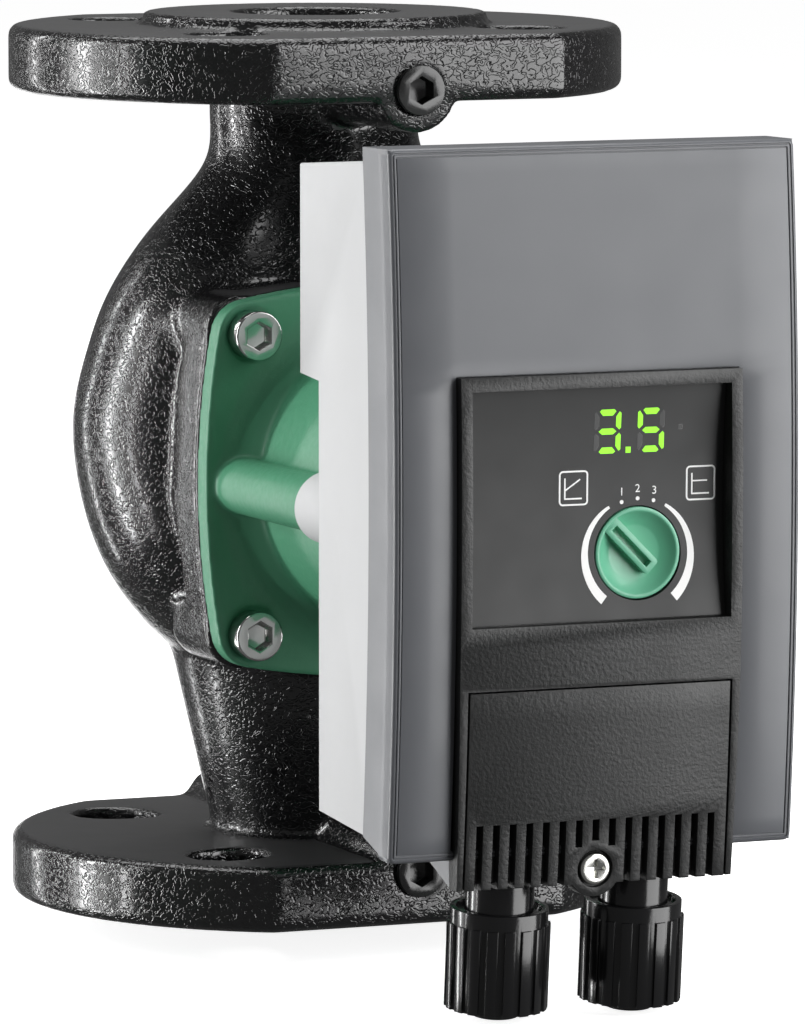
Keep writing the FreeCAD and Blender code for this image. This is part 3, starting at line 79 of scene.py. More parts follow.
class Look:
    """A material under construction: its node tree with a few short-cuts."""

    def __init__(self, name, colour, rough, metallic=0.0, specular=0.5, coat=0.0):
        self.material = bpy.data.materials.new(name)
        self.material.use_nodes = True
        self.tree = self.material.node_tree
        self.shader = self.tree.nodes["Principled BSDF"]
        self.shader.inputs["Base Color"].default_value = (*colour, 1)
        self.shader.inputs["Roughness"].default_value = rough
        self.shader.inputs["Metallic"].default_value = metallic
        self.shader.inputs["Specular IOR Level"].default_value = specular
        self.shader.inputs["Coat Weight"].default_value = coat
        self.shader.inputs["Coat Roughness"].default_value = COAT_ROUGH
        self.place = self.node("ShaderNodeTexCoord").outputs["Object"]
        self.height = None

    def node(self, kind, **settings):
        made = self.tree.nodes.new(kind)
        for key, setting in settings.items():
            setattr(made, key, setting)
        return made

    def link(self, source, target):
        self.tree.links.new(source, target)

    def stretched(self, scale):
        """Object coordinates stretched along the axes."""
        mapping = self.node("ShaderNodeMapping")
        mapping.inputs["Scale"].default_value = scale
        self.link(self.place, mapping.inputs["Vector"])
        return mapping.outputs["Vector"]

    def noise(self, scale, detail=2.0, rough=0.5, distortion=0.0, place=None):
        """Cloud noise; the scale counts its waves in a metre."""
        made = self.node("ShaderNodeTexNoise")
        made.inputs["Scale"].default_value = scale
        made.inputs["Detail"].default_value = detail
        made.inputs["Roughness"].default_value = rough
        made.inputs["Distortion"].default_value = distortion
        self.link(place or self.place, made.inputs["Vector"])
        return made.outputs["Fac"]

    def remap(self, source, low, high, to_low, to_high, smooth=False):
        made = self.node("ShaderNodeMapRange", clamp=True)
        if smooth:
            made.interpolation_type = "SMOOTHSTEP"
        for key, number in (("From Min", low), ("From Max", high), ("To Min", to_low),
                            ("To Max", to_high)):
            made.inputs[key].default_value = number
        self.link(source, made.inputs["Value"])
        return made.outputs["Result"]

    def math(self, operation, first, second=0.0):
        made = self.node("ShaderNodeMath", operation=operation)
        for socket, source in zip(made.inputs, (first, second)):
            if isinstance(source, (int, float)):
                socket.default_value = source
            else:
                self.link(source, socket)
        return made.outputs["Value"]

    def mix(self, share, first, second):
        """A colour between two colours."""
        made = self.node("ShaderNodeMix", data_type="RGBA")
        self.link(share, made.inputs["Factor"])
        for socket, colour in ((made.inputs[6], first), (made.inputs[7], second)):
            if isinstance(colour, tuple):
                socket.default_value = (*colour, 1)
            else:
                self.link(colour, socket)
        return made.outputs[2]

    def colour(self, source):
        self.link(source, self.shader.inputs["Base Color"])

    def rough(self, source):
        self.link(source, self.shader.inputs["Roughness"])

    def bump(self, source, depth, strength=1.0):
        """Add relief of a depth in millimetres on top of any earlier relief."""
        made = self.node("ShaderNodeBump")
        made.inputs["Distance"].default_value = depth * MM
        made.inputs["Strength"].default_value = strength
        self.link(source, made.inputs["Height"])
        if self.height:
            self.link(self.height, made.inputs["Normal"])
        self.height = made.outputs["Normal"]
        self.link(self.height, self.shader.inputs["Normal"])


def casting_paint():
    """Gloss black paint over a rough sand casting, smooth on the faces that look up or down,
    which are also painted a lighter grey as painted light from above.
    """
    look = Look("casting_paint", (0.005, 0.005, 0.0055), 0.2, specular=0.75)
    normal = look.node("ShaderNodeNewGeometry").outputs["True Normal"]
    split = look.node("ShaderNodeSeparateXYZ")
    look.link(normal, split.inputs[0])
    flat = look.remap(look.math("ABSOLUTE", split.outputs["Z"]), 0.93, 0.985, 0.0, 1.0)
    wave = look.noise(CASTING_WRINKLE["scale"], detail=0.5, rough=0.4, distortion=1.1,
                      place=look.stretched(CASTING_WRINKLE["stretch"]))
    fold = look.math("ABSOLUTE", look.math("SUBTRACT", wave, 0.5))
    wrinkle = look.remap(fold, 0.0, CASTING_WRINKLE["fold"], 0.0, 1.0, smooth=True)
    grain = look.noise(CASTING_GRAIN["scale"], detail=1.0)
    relief = look.math("ADD", wrinkle, look.math("MULTIPLY", grain, CASTING_GRAIN["share"]))
    rugged = look.math("MULTIPLY", relief, look.remap(flat, 0.0, 1.0, 1.0, 0.06))
    look.bump(rugged, CASTING_WRINKLE["depth"])
    look.bump(look.noise(CASTING_WAVE["scale"], detail=1.0), CASTING_WAVE["depth"],
              CASTING_WAVE["strength"])
    patch = look.noise(26, detail=3.0)
    ridge_black = look.mix(patch, (0.004, 0.004, 0.0045), (0.007, 0.007, 0.0075))
    # Painted shade: the wrinkle's grooves are painted near black, darker than the ridges'
    # randomly varied black.
    wrinkle_shaded_black = look.mix(wrinkle, (0.002, 0.002, 0.002), ridge_black)
    # Painted light: faces that look up or down get a lighter grey in place of the light that
    # falls on them; their smoother relief and gloss are real.
    look.colour(look.mix(flat, wrinkle_shaded_black, (0.026, 0.026, 0.027)))
    gloss = look.remap(patch, 0.3, 0.7, 0.12, 0.19)
    look.rough(look.math("ADD", gloss, look.math("MULTIPLY", flat, 0.26)))
    return look.material


def plastic(name, colour, rough, grain_scale, grain_depth, spread=0.08, specular=0.5, coat=0.0):
    """Moulded plastic with fine grain, faint flow variation and uneven gloss."""
    look = Look(name, colour, rough, specular=specular, coat=coat)
    look.bump(look.noise(grain_scale, detail=2.0, rough=0.6), grain_depth)
    flow = look.noise(40, detail=3.0)
    dark = tuple(part * (1 - spread) for part in colour)
    light = tuple(part * (1 + spread) for part in colour)
    look.colour(look.mix(look.remap(flow, 0.3, 0.7, 0.0, 1.0), dark, light))
    look.rough(look.remap(look.noise(90, detail=3.0), 0.3, 0.7, rough * 0.9, rough * 1.12))
    return look.material


def steel(name, colour, rough, scratch=(900, 900, 60), depth=0.01):
    """Metal with fine tool marks and a little uneven polish."""
    look = Look(name, colour, rough, metallic=1.0)
    look.bump(look.noise(1.0, detail=3.0, place=look.stretched(scratch)), depth)
    patch = look.noise(160, detail=3.0)
    look.rough(look.remap(patch, 0.3, 0.7, rough * 0.75, rough * 1.35))
    dark = tuple(part * 0.86 for part in colour)
    look.colour(look.mix(look.remap(patch, 0.35, 0.65, 0.0, 1.0), dark, colour))
    return look.material


def green_paint():
    """Satin powder coat on the motor's die casting, with orange peel and a fine grain."""
    look = Look("green_paint", (0.07, 0.275, 0.155), 0.42)
    peel = look.noise(700, detail=1.5)
    look.bump(peel, 0.035)
    look.bump(look.noise(2600, detail=1.0), 0.02)
    flow = look.remap(look.noise(45, detail=3.0), 0.3, 0.7, 0.0, 1.0)
    look.colour(look.mix(flow, (0.067, 0.265, 0.148), (0.076, 0.29, 0.164)))
    look.rough(look.remap(peel, 0.3, 0.7, 0.36, 0.5))
    return look.material


def glow(name, colour, strength):
    """A lit segment behind its diffuser."""
    look = Look(name, tuple(part * 0.3 for part in colour), 0.5)
    look.shader.inputs["Emission Color"].default_value = (*colour, 1)
    fine = look.noise(900, detail=1.0)
    look.link(look.remap(fine, 0.2, 0.8, strength * 0.92, strength * 1.05),
              look.shader.inputs["Emission Strength"])
    look.bump(fine, 0.01)
    return look.material


LOOKS = {
    "casting": casting_paint(),
    "plug_steel": plastic("plug_paint", (0.012, 0.012, 0.012), 0.22, 1500, 0.02, specular=0.6),
    "seal_rubber": plastic("seal_rubber", (0.015, 0.015, 0.015), 0.55, 2500, 0.02),
    "motor_paint": green_paint(),
    "bolt_steel": steel("bolt_steel", (0.62, 0.62, 0.61), 0.14),
    "stainless": steel("stainless", (0.6, 0.6, 0.59), 0.25),
    "carbon": plastic("carbon", (0.03, 0.03, 0.033), 0.4, 3000, 0.01),
    "magnet": plastic("magnet", (0.06, 0.06, 0.065), 0.5, 3000, 0.02),
    "impeller_plastic": plastic("impeller_plastic", (0.05, 0.05, 0.05), 0.45, 2500, 0.02),
    "core_steel": steel("core_steel", (0.3, 0.3, 0.31), 0.35, scratch=(60, 2800, 60)),
    "copper": steel("copper", (0.72, 0.3, 0.14), 0.3, scratch=(60, 60, 2200)),
    "insulator": plastic("insulator", (0.7, 0.69, 0.62), 0.5, 2000, 0.02),
    "module_grey": plastic("module_grey", (0.58, 0.585, 0.59), 0.42, 1500, 0.014, spread=0.02),
    "cover_grey": plastic("cover_grey", (0.118, 0.123, 0.134), 0.36, 1700, 0.006, spread=0.02,
                          coat=0.1),
    "aluminium": steel("aluminium", (0.72, 0.72, 0.73), 0.3),
    "board": plastic("board", (0.015, 0.13, 0.06), 0.35, 1200, 0.02),
    "capacitor": plastic("capacitor", (0.02, 0.02, 0.06), 0.3, 900, 0.01),
    "display_glass": plastic("display_glass", (0.006, 0.006, 0.006), 0.15, 900, 0.005),
    "terminal_grey": plastic("terminal_grey", (0.35, 0.36, 0.36), 0.45, 1800, 0.02),
    "panel_black": plastic("panel_black", (0.013, 0.0135, 0.0135), 0.45, 1150, 0.13),
    "foil_black": plastic("foil_black", (0.012, 0.0125, 0.0125), 0.45, 3000, 0.008,
                          spread=0.03),
    "knob_green": plastic("knob_green", (0.13, 0.44, 0.28), 0.38, 1500, 0.008, spread=0.04,
                          coat=0.2),
    "zinc": steel("zinc", (0.66, 0.66, 0.63), 0.22, scratch=(500, 500, 500)),
    "gland_black": plastic("gland_black", (0.008, 0.008, 0.0085), 0.16, 1200, 0.01,
                           specular=0.55),
}
PRINT_WHITE = plastic("print_white", (0.95, 0.95, 0.94), 0.5, 2500, 0.004, spread=0.02)
DIGIT_ON = glow("digit_on", (0.33, 1.0, 0.03), 1.0)
DIGIT_OFF = plastic("digit_off", (0.045, 0.046, 0.046), 0.4, 2500, 0.004)


# ---------------------------------------------------------------- mesh helpers
BEVEL_FROM_ANGLE = 28
FLAT_WITHIN_ANGLE = 0.3
CURVED_WITHIN_ANGLE = 0.05


def new_piece(name, mesh, look, body):
    """An object in the scene with a look, riding on a CAD body."""
    piece = bpy.data.objects.new(name, mesh)
    bpy.context.scene.collection.objects.link(piece)
    mesh.materials.clear()
    mesh.materials.append(look)
    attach(piece, body)
    return piece


def stand_for(node, mesh):
    """A finer mesh that stands for a CAD node."""
    slot = SLOT_OF[node]
    piece = new_piece(node + "_detail", mesh, LOOKS[slot], BODY_OF[node])
    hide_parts(node)


def shade(mesh, angle=30):
    """Smooth shading with crisp edges above an angle in degrees."""
    for face in mesh.polygons:
        face.use_smooth = True
    mesh.set_sharp_from_angle(angle=math.radians(angle))
    return mesh


def evaluated(helper):
    """The mesh that an object makes; the object itself is removed."""
    result = bpy.data.meshes.new_from_object(
        helper.evaluated_get(bpy.context.evaluated_depsgraph_get()))
    bpy.data.objects.remove(helper)
    return result


def with_modifiers(mesh, *steps):
    """A mesh after modifiers; each step is (kind, settings)."""
    helper = bpy.data.objects.new("helper", mesh)
    bpy.context.scene.collection.objects.link(helper)
    for kind, settings in steps:
        modifier = helper.modifiers.new(kind, kind)
        for key, setting in settings.items():
            setattr(modifier, key, setting)
    return evaluated(helper)


def finished(work, name):
    """The mesh of a finished bmesh."""
    mesh = bpy.data.meshes.new(name)
    work.to_mesh(mesh)
    work.free()
    return mesh


def closed(work, name):
    """The mesh of a finished bmesh whose faces all look outward."""
    bmesh.ops.recalc_face_normals(work, faces=work.faces)
    return finished(work, name)


def add_wall(work, first, second):
    """Faces between two rings of vertices."""
    for i in range(len(first)):
        j = (i + 1) % len(first)
        work.faces.new((first[i], first[j], second[j], second[i]))


def clean_copy(node, angle):
    """A welded copy of a CAD mesh, its flat faces merged back into single polygons."""
    mesh = frame["nodes"][node].data.copy()
    work = bmesh.new()
    work.from_mesh(mesh)
    bmesh.ops.remove_doubles(work, verts=work.verts, dist=2e-6)
    bmesh.ops.dissolve_limit(work, angle_limit=math.radians(angle), verts=work.verts,
                             edges=work.edges)
    work.to_mesh(mesh)
    work.free()
    return mesh


def bevelled(node, width, segments):
    """A CAD node's shape with every hard edge rounded by a width."""
    mesh = with_modifiers(clean_copy(node, FLAT_WITHIN_ANGLE), ("BEVEL", {
        "width": width * MM, "segments": segments, "limit_method": "ANGLE",
        "angle_limit": math.radians(BEVEL_FROM_ANGLE), "use_clamp_overlap": True,
        "harden_normals": False}))
    return shade(mesh, 35)


def coordinates(mesh):
    """Vertex coordinates as rows, in millimetres."""
    flat = np.empty(len(mesh.vertices) * 3)
    mesh.vertices.foreach_get("co", flat)
    return flat.reshape(-1, 3) / MM


def smooth_vertices(mesh, weights, rounds):
    """Relax the vertices towards their neighbours, by a weight for each vertex."""
    count = len(mesh.vertices)
    edges = np.empty(len(mesh.edges) * 2, dtype=np.int64)
    mesh.edges.foreach_get("vertices", edges)
    first, second = edges.reshape(-1, 2).T
    degree = np.bincount(first, minlength=count) + np.bincount(second, minlength=count)
    spots = coordinates(mesh)
    for _ in range(rounds):
        total = np.zeros_like(spots)
        for axis in range(3):
            total[:, axis] = (np.bincount(first, spots[second, axis], count)
                              + np.bincount(second, spots[first, axis], count))
        mean = total / np.maximum(degree, 1)[:, None]
        spots = spots + weights[:, None] * (mean - spots)
    mesh.vertices.foreach_set("co", (spots * MM).ravel())
    mesh.update()


def ramp(values, low, high):
    """0 below low, 1 above high and smooth between."""
    share = np.clip((values - low) / (high - low), 0, 1)
    return share * share * (3 - 2 * share)


def turned_shell(profile, centre, steps=128):
    """A closed ring mesh from a closed profile of (radius, y), turned about a Y axis."""
    work = bmesh.new()
    rings = []
    for step in range(steps):
        turn = 2 * math.pi * step / steps
        rings.append([work.verts.new(((centre[0] + r * math.cos(turn)) * MM, y * MM,
                                      (centre[1] + r * math.sin(turn)) * MM))
                      for r, y in profile])
    for first, second in zip(rings, rings[1:] + rings[:1]):
        add_wall(work, first, second)
    return closed(work, "turned")


def joined(*meshes):
    """Several meshes as one."""
    work = bmesh.new()
    for mesh in meshes:
        work.from_mesh(mesh)
    return finished(work, "joined")


# ---------------------------------------------------------------- casting and motor
RELAX = 0.5
CASTING_VOXEL, CASTING_FILLET_ROUNDS, CASTING_SKIN_ROUNDS = 0.95, 16, 2
MOTOR_VOXEL, MOTOR_FILLET_ROUNDS, MOTOR_SKIN_ROUNDS = 0.6, 4, 1
FLANGE_TOP, FLANGE_FREE = 17.5, 21.0
PORT_RADIUS, PORT_DEPTH = 21.5, 40.0
CHAMBER_RADIUS, CHAMBER_BACK, CHAMBER_HELD = 47.5, 12.0, 0.7
SEAT_START, SEAT_END = 43.0, 46.0
PLATE_FACE, PLATE_FREE = 51.5, 53.5
ROOT_FILLET = [(37.0, -48.5), (46.2, -48.5), (46.2, -53.1), (43.6, -53.7), (41.0, -55.1),
               (38.6, -57.4), (37.0, -59.4)]
BARREL_RADIUS, BARREL_END = 37.0, -105.0
BOLT_X, BOLT_Z, BOLT_SEAT, BOLT_CLEAR = 38.4, 36.0, 6.8, 9.0


def make_casting():
    """The volute casting with the soft corners and fillets of a sand casting."""
    mesh = with_modifiers(clean_copy("pump_housing", CURVED_WITHIN_ANGLE),
                          ("REMESH", {"mode": "VOXEL", "voxel_size": CASTING_VOXEL * MM}))
    x, y, z = coordinates(mesh).T
    from_port = np.minimum(z, PORT_TO_PORT - z)
    inside_port = (np.hypot(x, y) < PORT_RADIUS) & (from_port < PORT_DEPTH)
    from_axis = np.hypot(x, z - MOTOR_AXIS[1])
    chamber = (from_axis < CHAMBER_RADIUS) & (y < CHAMBER_BACK)
    free = ramp(from_port, FLANGE_TOP, FLANGE_FREE) * ~inside_port * ~chamber
    seat = 1 - ramp(-y, SEAT_START, SEAT_END)
    smooth_vertices(mesh, RELAX * free * seat, CASTING_FILLET_ROUNDS)
    smooth_vertices(mesh, RELAX * (1 - CHAMBER_HELD * chamber), CASTING_SKIN_ROUNDS)
    stand_for("pump_housing", shade(mesh, 60))


def make_motor():
    """The die-cast motor housing with the fillet at the root of its barrel."""
    fillet = turned_shell(ROOT_FILLET, MOTOR_AXIS)
    mesh = with_modifiers(joined(clean_copy("motor_housing", CURVED_WITHIN_ANGLE), fillet),
                          ("REMESH", {"mode": "VOXEL", "voxel_size": MOTOR_VOXEL * MM}))
    x, y, z = coordinates(mesh).T
    from_bolt = np.min([np.hypot(x - side * BOLT_X, z - MOTOR_AXIS[1] - end * BOLT_Z)
                        for side in (-1, 1) for end in (-1, 1)], axis=0)
    front = ramp(-y, PLATE_FACE, PLATE_FREE) * ramp(from_bolt, BOLT_SEAT, BOLT_CLEAR)
    outside = (np.hypot(x, z - MOTOR_AXIS[1]) > BARREL_RADIUS) | (y < BARREL_END)
    smooth_vertices(mesh, RELAX * front * outside, MOTOR_FILLET_ROUNDS)
    smooth_vertices(mesh, np.full(len(x), RELAX), MOTOR_SKIN_ROUNDS)
    stand_for("motor_housing", shade(mesh, 50))


make_casting()
make_motor()


# ---------------------------------------------------------------- module cover
COVER_MID, COVER_ARC, COVER_FRONT = 115.75, 850.0, 169.2
COVER_LOW, COVER_HIGH, COVER_HALF = 34.4, 197.1, 50.6
COVER_CORNER, SMALLEST_CORNER = 1.6, 0.25
SKIN, SKIN_DEEP, SKIN_EDGE = 0.25, 0.8, 0.12
RIM_WIDTH = 2.0
PANEL_GAP_HALF, PANEL_GAP_TOP = 35.3, 145.4
# The rim's section, as (inset from the cover's outline, lift above its face).
RIM_PROFILE = ((-0.04, -6.0), (-0.04, -1.0), (0.05, -0.5), (0.25, -0.15), (0.55, 0.05),
               (0.8, 0.08), (0.92, -0.25), (1.2, -0.25), (1.3, 0.02), (1.5, 0.08),
               (1.72, 0.04), (1.8, -0.3), (2.2, -0.6), (2.2, -6.0))


def cover_front(z):
    """Distance of the cover's bulged face in front of the pipe axis, at a height."""
    return COVER_FRONT - COVER_ARC + math.sqrt(COVER_ARC ** 2 - (z - COVER_MID) ** 2)


def cover_loop(inset, sides=40, turns=6):
    """Rounded rectangle of (x, z) points, anticlockwise seen from the front."""
    low, high, half = COVER_LOW + inset, COVER_HIGH - inset, COVER_HALF - inset
    radius = max(COVER_CORNER - inset, SMALLEST_CORNER)
    points = []
    for sign_x, sign_z, start in ((1, -1, -90), (1, 1, 0), (-1, 1, 90), (-1, -1, 180)):
        x = sign_x * (half - radius)
        z = (high - radius) if sign_z > 0 else (low + radius)
        for step in range(turns + 1):
            turn = math.radians(start + 90 * step / turns)
            points.append((x + radius * math.cos(turn), z + radius * math.sin(turn)))
        if start in (0, 180):
            continue
        end_z = (high - radius) if start == -90 else (low + radius)
        for step in range(1, sides):
            share = step / sides
            points.append((points[-step][0], z + (end_z - z) * share))
    return points


def make_cover_rim():
    """Rounded rim of the cover with its two fine grooves."""
    work = bmesh.new()
    rings = []
    for inset, lift in RIM_PROFILE:
        rings.append([work.verts.new((x * MM, -(cover_front(z) + SKIN + lift) * MM, z * MM))
                      for x, z in cover_loop(inset)])
    rings.append(rings[0])
    for first, second in zip(rings, rings[1:]):
        add_wall(work, first, second)
    mesh = closed(work, "cover_rim")
    new_piece("cover_rim", shade(mesh, 40), LOOKS["cover_grey"], "base")


def make_cover_face():
    """The cover's painted face as a bulged skin, open behind the control panel."""
    inner = COVER_HALF - RIM_WIDTH
    columns = [-inner, -PANEL_GAP_HALF, PANEL_GAP_HALF, inner]
    beside_panel = np.linspace(COVER_LOW + RIM_WIDTH, PANEL_GAP_TOP, 28)
    above_panel = np.linspace(PANEL_GAP_TOP, COVER_HIGH - RIM_WIDTH, 14)
    rows = list(beside_panel) + list(above_panel)[1:]
    first_full_row = len(beside_panel) - 1
    work = bmesh.new()
    grid = [[work.verts.new((x * MM, -(cover_front(z) + SKIN) * MM, z * MM)) for x in columns]
            for z in rows]
    for row, (low, high) in enumerate(zip(grid, grid[1:])):
        for i in range(3):
            behind_panel = i == 1 and row < first_full_row
            if not behind_panel:
                work.faces.new((low[i], low[i + 1], high[i + 1], high[i]))
    bmesh.ops.delete(work, geom=[v for v in work.verts if not v.link_faces], context="VERTS")
    mesh = with_modifiers(
        finished(work, "cover_face"), ("SOLIDIFY", {"thickness": SKIN_DEEP * MM, "offset": -1.0}),
        ("BEVEL", {"width": SKIN_EDGE * MM, "segments": 2, "limit_method": "ANGLE"}))
    new_piece("cover_face", shade(mesh, 40), LOOKS["cover_grey"], "base")


make_cover_rim()
make_cover_face()


# ---------------------------------------------------------------- print on the foil
FOIL_MID, FOIL_ARC, FOIL_END, FOIL_HALF = 115.0, 215.0, 168.7, 26.7
KNOB = (10.6, 103.3)
PRINT_BACK, PRINT_LIFT, LIT_LIFT, UNLIT_LIFT = 0.05, 0.05, 0.06, 0.04
# Rectangles are (left, right, low, high).
DIGIT_FOOT, DIGIT_SHADOW = 126.4, 0.12
DECIMAL_POINT = (7.5, 8.75, DIGIT_FOOT, 127.8)
UNIT_LAMP = (20.6, 21.7, 131.4, 132.5)
DIGIT_PLACES = ((-0.55, ("left_high", "left_low")), (10.35, ("right_high", "left_low")))
SEGMENTS = {
    "top": [(1.3, 9.75), (1.8, 10.2), (4.9, 10.2), (5.4, 9.75), (4.6, 8.75), (2.1, 8.75)],
    "middle": [(1.15, 5.1), (2.0, 5.8), (4.7, 5.8), (5.55, 5.1), (4.7, 4.4), (2.0, 4.4)],
    "bottom": [(1.3, 0.45), (1.8, 0.0), (4.9, 0.0), (5.4, 0.45), (4.6, 1.45), (2.1, 1.45)],
    "right_high": [(5.45, 8.5), (6.25, 9.65), (6.7, 9.3), (6.7, 5.95), (6.3, 5.5), (5.45, 6.3)],
    "right_low": [(5.45, 1.7), (6.25, 0.55), (6.7, 0.9), (6.7, 4.25), (6.3, 4.7), (5.45, 3.9)],
    "left_high": [(1.25, 8.5), (0.45, 9.65), (0.0, 9.3), (0.0, 5.95), (0.4, 5.5), (1.25, 6.3)],
    "left_low": [(1.25, 1.7), (0.45, 0.55), (0.0, 0.9), (0.0, 4.25), (0.4, 4.7), (1.25, 3.9)],
}
SCALE_INNER, SCALE_NARROW, SCALE_WIDENS = 12.5, 13.15, 1.65
SCALE_START, SCALE_END = 33, 140
DOTS, DOT_RADIUS = ((6.7, 115.1), (10.7, 115.8), (14.7, 115.2)), 0.48
NUMERALS, NUMERAL_HEIGHT = (("1", 6.7, 116.6), ("2", 10.7, 117.25), ("3", 14.9, 116.7)), 1.85
ICONS = ((-9.05, -1.75), (22.85, 30.25))
ICON_LOW, ICON_HIGH, ICON_INSET = 114.95, 122.6, 0.2
AXIS_FOOT, AXIS_TOP, AXIS_WIDTH = 116.35, 121.1, 0.36
CURVES, CURVE_WIDTH = (((-7.45, 118.3), (-3.75, 120.75)), ((24.4, 119.3), (28.2, 119.3))), 0.34


def foil_front(z):
    """Distance of the concave foil in front of the pipe axis, at a height."""
    reach = math.sqrt(FOIL_ARC ** 2 - FOIL_HALF ** 2)
    return FOIL_END + reach - math.sqrt(FOIL_ARC ** 2 - (z - FOIL_MID) ** 2)


def printed(name, outlines, look, lift=PRINT_LIFT):
    """Thin closed shapes on the foil from outlines of (x, z) points."""
    work = bmesh.new()
    for outline in outlines:
        front = [work.verts.new((x * MM, -(foil_front(z) + lift) * MM, z * MM))
                 for x, z in outline]
        back = [work.verts.new((x * MM, -(foil_front(z) - PRINT_BACK) * MM, z * MM))
                for x, z in outline]
        work.faces.new(front)
        work.faces.new(back[::-1])
        add_wall(work, front, back)
    new_piece(name, closed(work, name), look, "base")


def rectangle(left, right, low, high):
    """The outline of a rectangle."""
    return [(left, low), (right, low), (right, high), (left, high)]


def bar(start, end, width=0.4, parts=4):
    """A straight printed line as a run of short outlines."""
    run = Vector((end[0] - start[0], end[1] - start[1]))
    side = Vector((-run.y, run.x)).normalized() * width / 2
    outlines = []
    for part in range(parts):
        low = Vector(start) + run * part / parts
        high = Vector(start) + run * (part + 1) / parts
        outlines.append([tuple(low - side), tuple(high - side), tuple(high + side),
                         tuple(low + side)])
    return outlines


def ring_sector(centre, inner, outer_at, start, end, steps=32):
    """A curved printed line; angles from the top, outer_at gives its outer radius."""
    outlines = []
    for step in range(steps):
        corners = []
        for share, wide in ((step, 0), (step + 1, 0), (step + 1, 1), (step, 1)):
            part = share / steps
            turn = math.radians(start + (end - start) * part)
            radius = outer_at(part) if wide else inner
            corners.append((centre[0] + radius * math.sin(turn),
                            centre[1] + radius * math.cos(turn)))
        outlines.append(corners)
    return outlines


def rounded_box(left, right, low, high, radius=0.8, width=0.4):
    """The outline of a rounded square as printed lines."""
    outlines = bar((left + radius, low), (right - radius, low), width)
    outlines += bar((left + radius, high), (right - radius, high), width)
    outlines += bar((left, low + radius), (left, high - radius), width)
    outlines += bar((right, low + radius), (right, high - radius), width)
    half = width / 2
    for x, z, start in ((right - radius, high - radius, 0), (right - radius, low + radius, 90),
                        (left + radius, low + radius, 180), (left + radius, high - radius, 270)):
        outlines += ring_sector((x, z), radius - half, lambda part: radius + half, start,
                                start + 90, 5)
    return outlines


def make_digits():
    """A two-digit reading of lit segments, with the unlit ones faint beside them."""
    lit, dark = [], []
    for left, unlit in DIGIT_PLACES:
        for name, corners in SEGMENTS.items():
            moved = [(x + left, z + DIGIT_FOOT) for x, z in corners]
            (dark if name in unlit else lit).append(moved)
    lit.append(rectangle(*DECIMAL_POINT))
    dark.append(rectangle(*UNIT_LAMP))
    printed("digits_lit", lit, DIGIT_ON, LIT_LIFT)
    printed("digits_unlit", dark, DIGIT_OFF, UNLIT_LIFT)
    shadows = []
    for outline in dark:
        left_edge = min(x for x, z in outline)
        for start, end in zip(outline, outline[1:] + outline[:1]):
            middle = (start[0] + end[0]) / 2
            if middle > left_edge + 0.5:
                shadows += bar(start, end, DIGIT_SHADOW, parts=1)
    printed("digit_shadows", shadows, LOOKS["display_glass"])


def make_scale():
    """White scale about the knob, its dots and the two operating mode icons."""
    shapes = []
    for side in (1, -1):
        shapes += ring_sector(KNOB, SCALE_INNER,
                              lambda part: SCALE_NARROW + SCALE_WIDENS * part ** 0.8,
                              side * SCALE_START, side * SCALE_END)
    for x, z in DOTS:
        shapes.append([(x + DOT_RADIUS * math.cos(turn), z + DOT_RADIUS * math.sin(turn))
                       for turn in np.linspace(0, 2 * math.pi, 17)[:-1]])
    for left, right in ICONS:
        shapes += rounded_box(left + ICON_INSET, right - ICON_INSET, ICON_LOW, ICON_HIGH)
        shapes += bar((left + 1.5, AXIS_FOOT), (left + 1.5, AXIS_TOP), AXIS_WIDTH)
        shapes += bar((left + 1.35, AXIS_FOOT), (right - 1.55, AXIS_FOOT), AXIS_WIDTH)
    for start, end in CURVES:
        shapes += bar(start, end, CURVE_WIDTH)
    printed("panel_print", shapes, PRINT_WHITE)


def make_numeral(text, x, z):
    """A small printed numeral standing on the foil."""
    capital_share = 0.7
    curve = bpy.data.curves.new("numeral_" + text, "FONT")
    curve.body = text
    curve.align_x = "CENTER"
    curve.size = NUMERAL_HEIGHT / capital_share * MM
    curve.extrude = 0.04 * MM
    helper = bpy.data.objects.new("helper", curve)
    bpy.context.scene.collection.objects.link(helper)
    bpy.context.view_layer.update()
    mesh = evaluated(helper)
    upright = Matrix.Rotation(math.radians(90), 4, "X")
    place = Matrix.Translation((x * MM, -(foil_front(z) + 0.01) * MM, z * MM))
    mesh.transform(place @ upright)
    new_piece("numeral_" + text, mesh, PRINT_WHITE, "base")


make_digits()
make_scale()
for text, x, z in NUMERALS:
    make_numeral(text, x, z)


# ---------------------------------------------------------------- knob
KNOB_RADIUS, KNOB_DEPTH, SPINDLE_RADIUS = 10.6, 4.2, 3.0
POINTER_TURN = 45
RIDGE_DEEP, SLOT_DEEP = 2.9, 2.0
RIDGE_OUTLINE = [(9.7, 2.15), (9.7, -2.15), (-4.6, -2.15), (-5.1, -1.9), (-5.3, -1.4),
                 (-5.3, 1.4), (-5.1, 1.9), (-4.6, 2.15)]
SLOT_OUTLINE = [(8.3, 0.85), (8.3, -0.85), (-3.9, -0.85), (-3.9, 0.85)]


